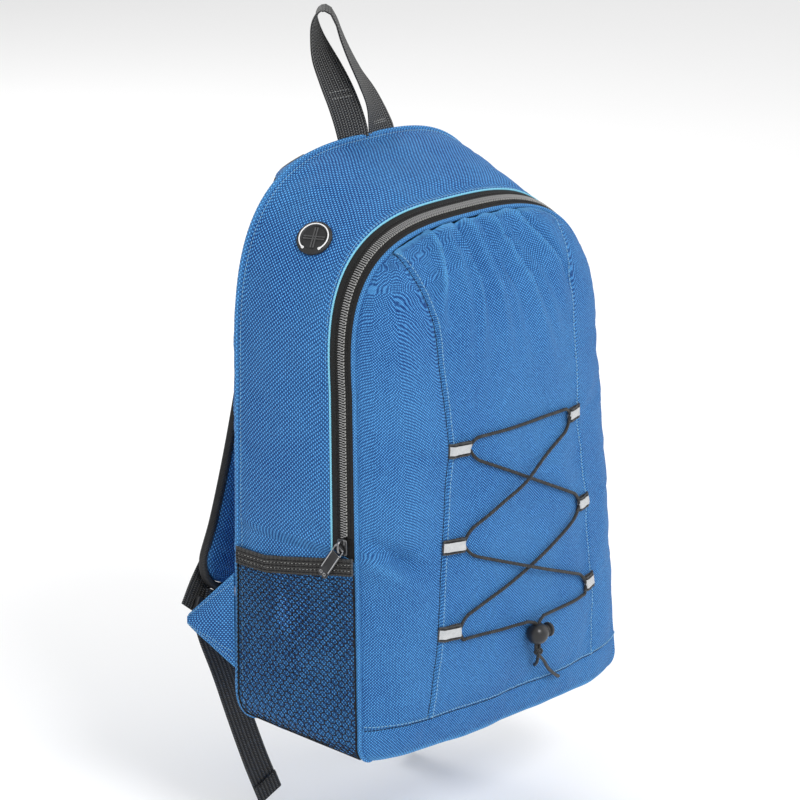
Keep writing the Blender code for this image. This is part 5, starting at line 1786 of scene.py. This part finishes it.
def webbing_stitches(maker, line, wide, normal, shares, thickness):
    """Rows of stitches across webbing, at these shares of its length."""
    for share in shares:
        at = int(share * (len(line) - 1))
        path = line[at] + wide[at] * np.linspace(-0.42, 0.42, 30)[:, None] * WEBBING_WIDTH
        for face in (-1, 1):
            ups = np.repeat(normal[at][None] * face, 30, 0)
            stitch_row(maker, path + ups * thickness / 2, ups, *WEBBING_STITCH)


# The haul loop from its left foot up, over and down: x, y and z from the foot, and the heading
# of the webbing's width in degrees. The crown turns away, so that its edge shows from the front.
HAUL_LINE = ((-0.0130, 0.0, -0.010, 170), (-0.0148, 0.0, -0.001, 170),
             (-0.0200, 0.0002, 0.014, 172), (-0.0275, 0.0007, 0.031, 176),
             (-0.0370, 0.0016, 0.049, 182), (-0.0462, 0.0030, 0.067, 192), (-0.0500, 0.0045, 0.082, 206),
             (-0.0500, 0.0052, 0.093, 216), (-0.0462, 0.0035, 0.1005, 222),
             (-0.0420, -0.0010, 0.1010, 224), (-0.0385, -0.0045, 0.0935, 224),
             (-0.0335, -0.0055, 0.0805, 222), (-0.0245, -0.0050, 0.0645, 220),
             (-0.0100, -0.0030, 0.044, 216), (0.0050, -0.0012, 0.023, 204), (0.0160, 0.0, -0.001, 184),
             (0.0195, 0.0, -0.010, 182))


def make_haul_loop():
    foot = arr(JOINTS["haul_loop_flop"]["pos_m"])
    knots = arr(HAUL_LINE)
    heading = np.radians(knots[:, 3])
    wide = stack(np.cos(heading), np.sin(heading), 0)
    both = curve_through(np.concatenate([foot + knots[:, :3], wide], 1), 130)
    line, wide = both[:, :3], unit(both[:, 3:])
    maker = Maker()
    normal = webbing(maker, line, wide, WEBBING_WIDTH * 0.96, HAUL_THICK)
    piece = maker.build("haul_webbing", WEBBING)
    stretch(piece, "shell", "haul_loop", foot - arr([0, 0, 0.003]), foot + arr([0, 0, 0.012]),
            ("haul_loop",), "black_webbing")
    maker = Maker()
    webbing_stitches(maker, line, wide, normal, (0.075, 0.088, 0.912, 0.925), HAUL_THICK)
    place(maker.build("haul_stitches", PALE_THREAD), "haul_loop", slot="black_webbing")


def strap_line(side):
    """Centres of a shoulder strap from the top seam to its lower end, as the CAD's strap runs."""
    top = arr(JOINTS["right_strap_swing"]["pos_m"])
    points = arr([top, (0.063, 0.084, 0.396), (0.065, 0.094, 0.355), (0.069, 0.102, 0.305),
                  (0.077, 0.1075, 0.254), (0.090, 0.1105, 0.195), (0.105, 0.1115, 0.145),
                  (0.1165, 0.1115, 0.118)])
    line = curve_through(points, 90)
    return line * arr([side, 1, 1])


PAD_HALF = 0.0204
PAD_THICK = 0.0090
BINDING_RADIUS = 0.0033


def strap_directions(line):
    along = unit(np.gradient(line, axis=0))
    wide = unit(stack(along[:, 2], 0 * along[:, 0], -along[:, 0]))
    return along, wide, np.cross(wide, along)


def make_strap(prefix, side):
    """A padded strap: its crowned pad, the binding sewn round it, and its stitching."""
    body = prefix + "_strap"
    line = strap_line(side)
    along, wide, out = strap_directions(line)
    turn = np.linspace(0, math.pi / 2, 12)[1:-1]
    end = line[-1] + along[-1] * (PAD_HALF * np.sin(turn))[:, None]
    centres = np.concatenate([line, end])
    halves = np.concatenate([np.full(len(line), PAD_HALF), PAD_HALF * np.cos(turn)])
    thick = np.concatenate([np.full(len(line), 1.0), np.cos(turn) ** 0.35])
    wide_all = np.concatenate([wide, np.repeat(wide[-1:], len(turn), 0)])
    out_all = np.concatenate([out, np.repeat(out[-1:], len(turn), 0)])
    angle = np.linspace(0, 2 * math.pi, 30, endpoint=False)
    across = np.sign(np.cos(angle)) * np.abs(np.cos(angle)) ** 0.8
    rise = np.sign(np.sin(angle)) * np.abs(np.sin(angle)) ** 0.55
    rings = (centres[:, None] + wide_all[:, None] * (halves[:, None] * across)[..., None]
             + out_all[:, None] * (thick[:, None] * rise * PAD_THICK / 2)[..., None])
    pins = np.repeat((np.abs(np.cos(angle)) ** 6)[None, :], len(rings), 0)
    pins[:2] = pins[-2:] = 1
    rings = settle(rings, pins, 1.5, 0.010, 0.0012, wrapped=True, flip=True)
    rumple = waves(rings[..., 0] + rings[..., 2], rings[..., 1] * 0.5, 91 + side, 0.022, 6)
    rings = rings + out_all[:, None] * (0.0004 * rumple * np.sign(rise))[..., None]
    maker = Maker()
    maker.loft(rings[::-1])
    place(maker.build(prefix + "_pad", BLUE_PAD), body, (prefix + "_strap_pad",), "body_cloth")

    reach = PAD_HALF + BINDING_RADIUS + 0.0002
    turn = np.linspace(-math.pi / 2, math.pi / 2, 30)[1:-1]
    tip = (line[-1] + along[-1] * (reach * np.cos(turn))[:, None]
           + wide[-1] * (reach * np.sin(turn))[:, None])
    first, last = line - wide * reach, (line + wide * reach)[::-1]
    first, last = (first[5:], last) if side > 0 else (first, last[:-5])
    path = np.concatenate([first, tip, last])
    maker = Maker()
    maker.tube(path, BINDING_RADIUS, 12, hint=(0, 1, 0.05))
    place(maker.build(prefix + "_binding", BINDING), body, (prefix + "_strap_binding",), "black_webbing")
    maker = Maker()
    for face in (-1, 1):
        for edge in (-1, 1):
            row = line + wide * edge * (PAD_HALF + 0.0010) + out * face * 0.0026
            stitch_row(maker, row, out * face, *BINDING_STITCH)
    place(maker.build(prefix + "_strap_stitches", BLACK_THREAD), body, slot="black_webbing")
    make_hardware(prefix, along[-1], wide[-1])


def make_root(prefix, side):
    """A cloth cover sewn into the rear seam, over the top end of a strap, and its piping."""
    centre = JOINTS["right_strap_swing"]["pos_m"]
    across = np.linspace(-1, 1, 34)[None, :]
    rise = np.linspace(0, 1, 16)[:, None]
    x = side * centre[0] + across * 0.0285
    _, arch_x, arch_z = BACK_ARCH
    seam = np.interp(-np.abs(x), arch_x, arch_z) - 0.0012
    foot = centre[2] - 0.0050
    z = foot + (seam - foot) * rise
    stand = (centre[1] + 0.0090 - BACK_FACE_Y) * (1 - np.abs(across) ** 8) * (1 - rise**1.6)
    points = stack(x, BACK_FACE_Y + 0.0006 + stand, z)
    maker = Maker()
    maker.sheet(points, 0.0012)
    maker.tube(points[0] - arr([0, 0.0006, 0]), 0.0010, 8)
    bodies = ("shell", prefix + "_strap")
    ends = ((side * centre[0], centre[1], float(seam.max())), (side * centre[0], centre[1], foot))
    stretch(maker.build(prefix + "_strap_root", BLUE_PAD), *bodies, *ends, slot="body_cloth")
    maker = Maker()
    edge = [(0.0864, 0.0806, 0.4040), (0.0838, 0.0824, 0.4115), (0.0760, 0.0845, 0.4190),
            (0.0670, 0.0828, 0.4240), (0.0550, 0.0795, 0.4290)]
    path = curve_through(arr(edge) * arr([side, 1, 1]), 40)
    maker.tube(path, 0.0031, 12)
    piece = maker.build(prefix + "_root_binding", BINDING)
    stretch(piece, *bodies, path[-8], path[0], slot="black_webbing")
    maker = Maker()
    out = -surface_normals(points)
    for row in (2, 4):
        stitch_row(maker, points[row], out[row], *FINE_STITCH)
    stretch(maker.build(prefix + "_root_stitches", BLUE_THREAD), *bodies, *ends, slot="body_cloth")


def make_hardware(prefix, down, across):
    """The ladder lock and the webbing tab that holds it to the strap."""
    body = prefix + "_strap"
    lock = arr(middle(prefix + "_ladder_lock"))
    out = arr([0.0, 1.0, 0.0])
    maker = Maker()
    for edge in (-1, 1):
        rounded_block(maker, lock + across * edge * 0.0157, (across, down, out),
                      (0.0023, 0.0120, 0.0021), 0.0016, crown=0.0004)
    bars = ((-0.0103, 0.0017, 0.0), (-0.0012, 0.0021, 0.0004), (0.0102, 0.0018, -0.0002))
    for offset, half, lift in bars:
        rounded_block(maker, lock + down * offset + out * lift, (across, down, out),
                      (0.0150, half, 0.0018), 0.0012)
    for ridge in np.linspace(-0.0125, 0.0125, 11):
        rib = [lock + down * -0.0028 + out * 0.0021 + across * ridge,
               lock + down * 0.0006 + out * 0.0024 + across * ridge]
        maker.tube(curve_through(rib, 4), 0.0004, 6)
    place(maker.build(prefix + "_lock", PLASTIC, crease=35), body, (prefix + "_ladder_lock",),
          "moulded_plastic")
    tab_low, tab_high = lock - down * 0.0120, lock - down * 0.0195
    bar = lock - down * 0.0103
    path = curve_through([tab_high + out * 0.0016, tab_low + out * 0.0024, bar + out * 0.0027,
                          lock - down * 0.0080 + out * 0.0006, bar - out * 0.0027,
                          tab_low - out * 0.0024, tab_high - out * 0.0016], 40)
    maker = Maker()
    webbing(maker, path, np.repeat(across[None], 40, 0), 0.0250, 0.0012)
    place(maker.build(prefix + "_tab", TAIL_WEBBING), body, (prefix + "_buckle_tab",), "black_webbing")


# The hanging webbing's centres from the ladder lock down; X is outwards.
TAIL_LINE = ((0.0, 0.0045, -0.002), (-0.007, 0.0055, -0.020), (-0.019, 0.0045, -0.050),
             (-0.0315, 0.001, -0.090), (-0.0445, -0.003, -0.130), (-0.058, -0.006, -0.165))


def make_tail(prefix, side):
    """The loose webbing, with its end folded over and sewn."""
    lock = arr(middle(prefix + "_ladder_lock"))
    points = arr(TAIL_LINE) * arr([side, 1, 1]) + lock
    line = curve_through(points, 90)
    along = unit(np.gradient(line, axis=0))
    wide = unit(stack(-along[:, 2], 0 * along[:, 0], along[:, 0]))
    maker = Maker()
    normal = webbing(maker, line, wide, WEBBING_WIDTH * 0.84, TAIL_THICK)
    fold = line[-9:] + normal[-9:] * 0.0016
    webbing(maker, fold, wide[-9:], WEBBING_WIDTH * 0.83, 0.0014)
    place(maker.build(prefix + "_tail", TAIL_WEBBING), prefix + "_tail", (prefix + "_webbing_tail",),
          "black_webbing")
    maker = Maker()
    webbing_stitches(maker, line + normal * 0.0008, wide * 0.84, normal, (0.915, 0.93), 0.0032)
    place(maker.build(prefix + "_tail_stitches", BLACK_THREAD), prefix + "_tail", slot="black_webbing")


def make_adjuster(prefix, side):
    """Webbing from the wing's tip up to the lock, between the bag and the strap."""
    lower, upper = low(prefix + "_adjuster_webbing"), high(prefix + "_adjuster_webbing")
    tip = arr([side * 0.1500, lower.y + 0.0004, 0.082])
    lock_end = arr([side * 0.1255, upper.y - 0.0008, 0.112])
    bulge = (tip + lock_end) / 2 + arr([side * 0.0006, 0.0004, 0])
    line = curve_through([tip, bulge, lock_end], 30)
    wide = np.repeat(arr([[side * 0.775, 0, 0.633]]), 30, 0)
    maker = Maker()
    webbing(maker, line, wide, 0.0245, ADJUSTER_THICK)
    stretch(maker.build(prefix + "_adjuster", TAIL_WEBBING), "shell", prefix + "_strap", tip, lock_end,
            (prefix + "_adjuster_webbing",), "black_webbing")


def make_wing(prefix, side):
    """A doubled cloth triangle from the rear side seam, topstitched along both edges."""
    box_low, box_high = low(prefix + "_wing"), high(prefix + "_wing")
    seam_x_at, tip_x = BASE_HALF_WIDTH - 0.002, max(abs(box_low.x), abs(box_high.x)) - 0.0009
    share = np.linspace(0, 1, 40)[:, None]
    rise = np.linspace(0, 1, 26)[None, :]
    low_z = box_low.z + (0.074 - box_low.z) * share
    high_z = box_high.z + (0.080 - box_high.z) * share
    x = side * (seam_x_at + (tip_x - seam_x_at) * share)
    y = BACK_Y + 0.0034 + (box_high.y - 0.0002 - BACK_Y - 0.0034) * share
    z = low_z + (high_z - low_z) * rise
    inside = 16 * share * (1 - share) * rise * (1 - rise)
    x = x + side * (0.0016 * inside + 0.0008 * waves(y, z, 45 + side, 0.022, 6) * np.clip(inside * 2, 0, 1))
    points = stack(x, y + 0 * z, z)
    maker = Maker()
    maker.sheet(points, 0.0020, flip=side < 0)
    for rim in (0, -1):
        maker.tube(points[:, rim] - arr([side * 0.001, 0, 0]), 0.0013, 8)
    place(maker.build(prefix + "_wing_cloth", BLUE_PAD), "shell", (prefix + "_wing",), "body_cloth")
    maker = Maker()
    out = surface_normals(points) * (1 if side < 0 else -1)
    for column in (2, 4, -3):
        stitch_row(maker, points[:, column], out[:, column], *FINE_STITCH)
        inner = points[:, column] - out[:, column] * 0.0020
        stitch_row(maker, inner, -out[:, column], *FINE_STITCH)
    maker.tube(points[:, -1] + out[:, -1] * 0.0008, 0.00035, 6)
    place(maker.build(prefix + "_wing_stitches", BLUE_THREAD), "shell", slot="body_cloth")


def make_straps():
    for prefix, side in SIDES:
        make_strap(prefix, side)
        make_root(prefix, side)
        make_tail(prefix, side)
        make_adjuster(prefix, side)
        make_wing(prefix, side)


# ---- camera, light and floor --------------------------------------------------------------------
CAMERA_PLACE = (-2.0608, -1.8571, 1.0369)
CAMERA_AIM = (-0.0529, -0.0154, 0.255)
CAMERA_LENS = 168.55
CAMERA_ROLL = -0.22
LAMPS = (("key", (-0.8, -2.4, 2.3), 46, 0.9), ("fill", (2.2, -1.6, 1.2), 10, 2.0),
         ("rim", (0.9, 2.4, 1.8), 26, 1.2))


def make_stage():
    scene = bpy.context.scene
    lens = bpy.data.cameras.new("camera")
    lens.lens, lens.sensor_width = CAMERA_LENS, 36.0
    lens.clip_start, lens.clip_end = 0.1, 60
    camera = bpy.data.objects.new("camera", lens)
    scene.collection.objects.link(camera)
    camera.location = CAMERA_PLACE
    view = Vector(CAMERA_AIM) - camera.location
    camera.rotation_euler = view.to_track_quat("-Z", "Y").to_euler()
    camera.rotation_euler.rotate_axis("Z", math.radians(CAMERA_ROLL))
    scene.camera = camera

    maker = Maker()
    side = np.linspace(-30, 30, 7)
    floor_z = CAD_BOX[0].z - 0.006
    maker.grid(stack(side[None, :], side[:, None], floor_z))
    floor = maker.build("floor", floor_finish("floor_paper"))

    world = bpy.data.worlds.new("studio")
    scene.world = world
    world.use_nodes = True
    world.node_tree.nodes["Background"].inputs[0].default_value = (1, 1, 1, 1)
    world.node_tree.nodes["Background"].inputs[1].default_value = 0.80
    scene.view_settings.view_transform = "Standard"
    for name, where, power, size in LAMPS:
        lamp(name, where, power, size)


def lamp(name, where, power, size):
    data = bpy.data.lights.new(name, "AREA")
    data.energy, data.size = power, size
    made = bpy.data.objects.new(name, data)
    bpy.context.scene.collection.objects.link(made)
    made.location = where
    aim = Vector((0, 0, 0.22)) - made.location
    made.rotation_euler = aim.to_track_quat("-Z", "Y").to_euler()


def main():
    make_front()
    make_front_edge()
    make_gusset()
    make_base()
    make_back()
    make_zip()
    make_slider()
    make_pull()
    make_pockets()
    make_port()
    make_lacing()
    make_haul_loop()
    make_straps()
    make_stage()


main()
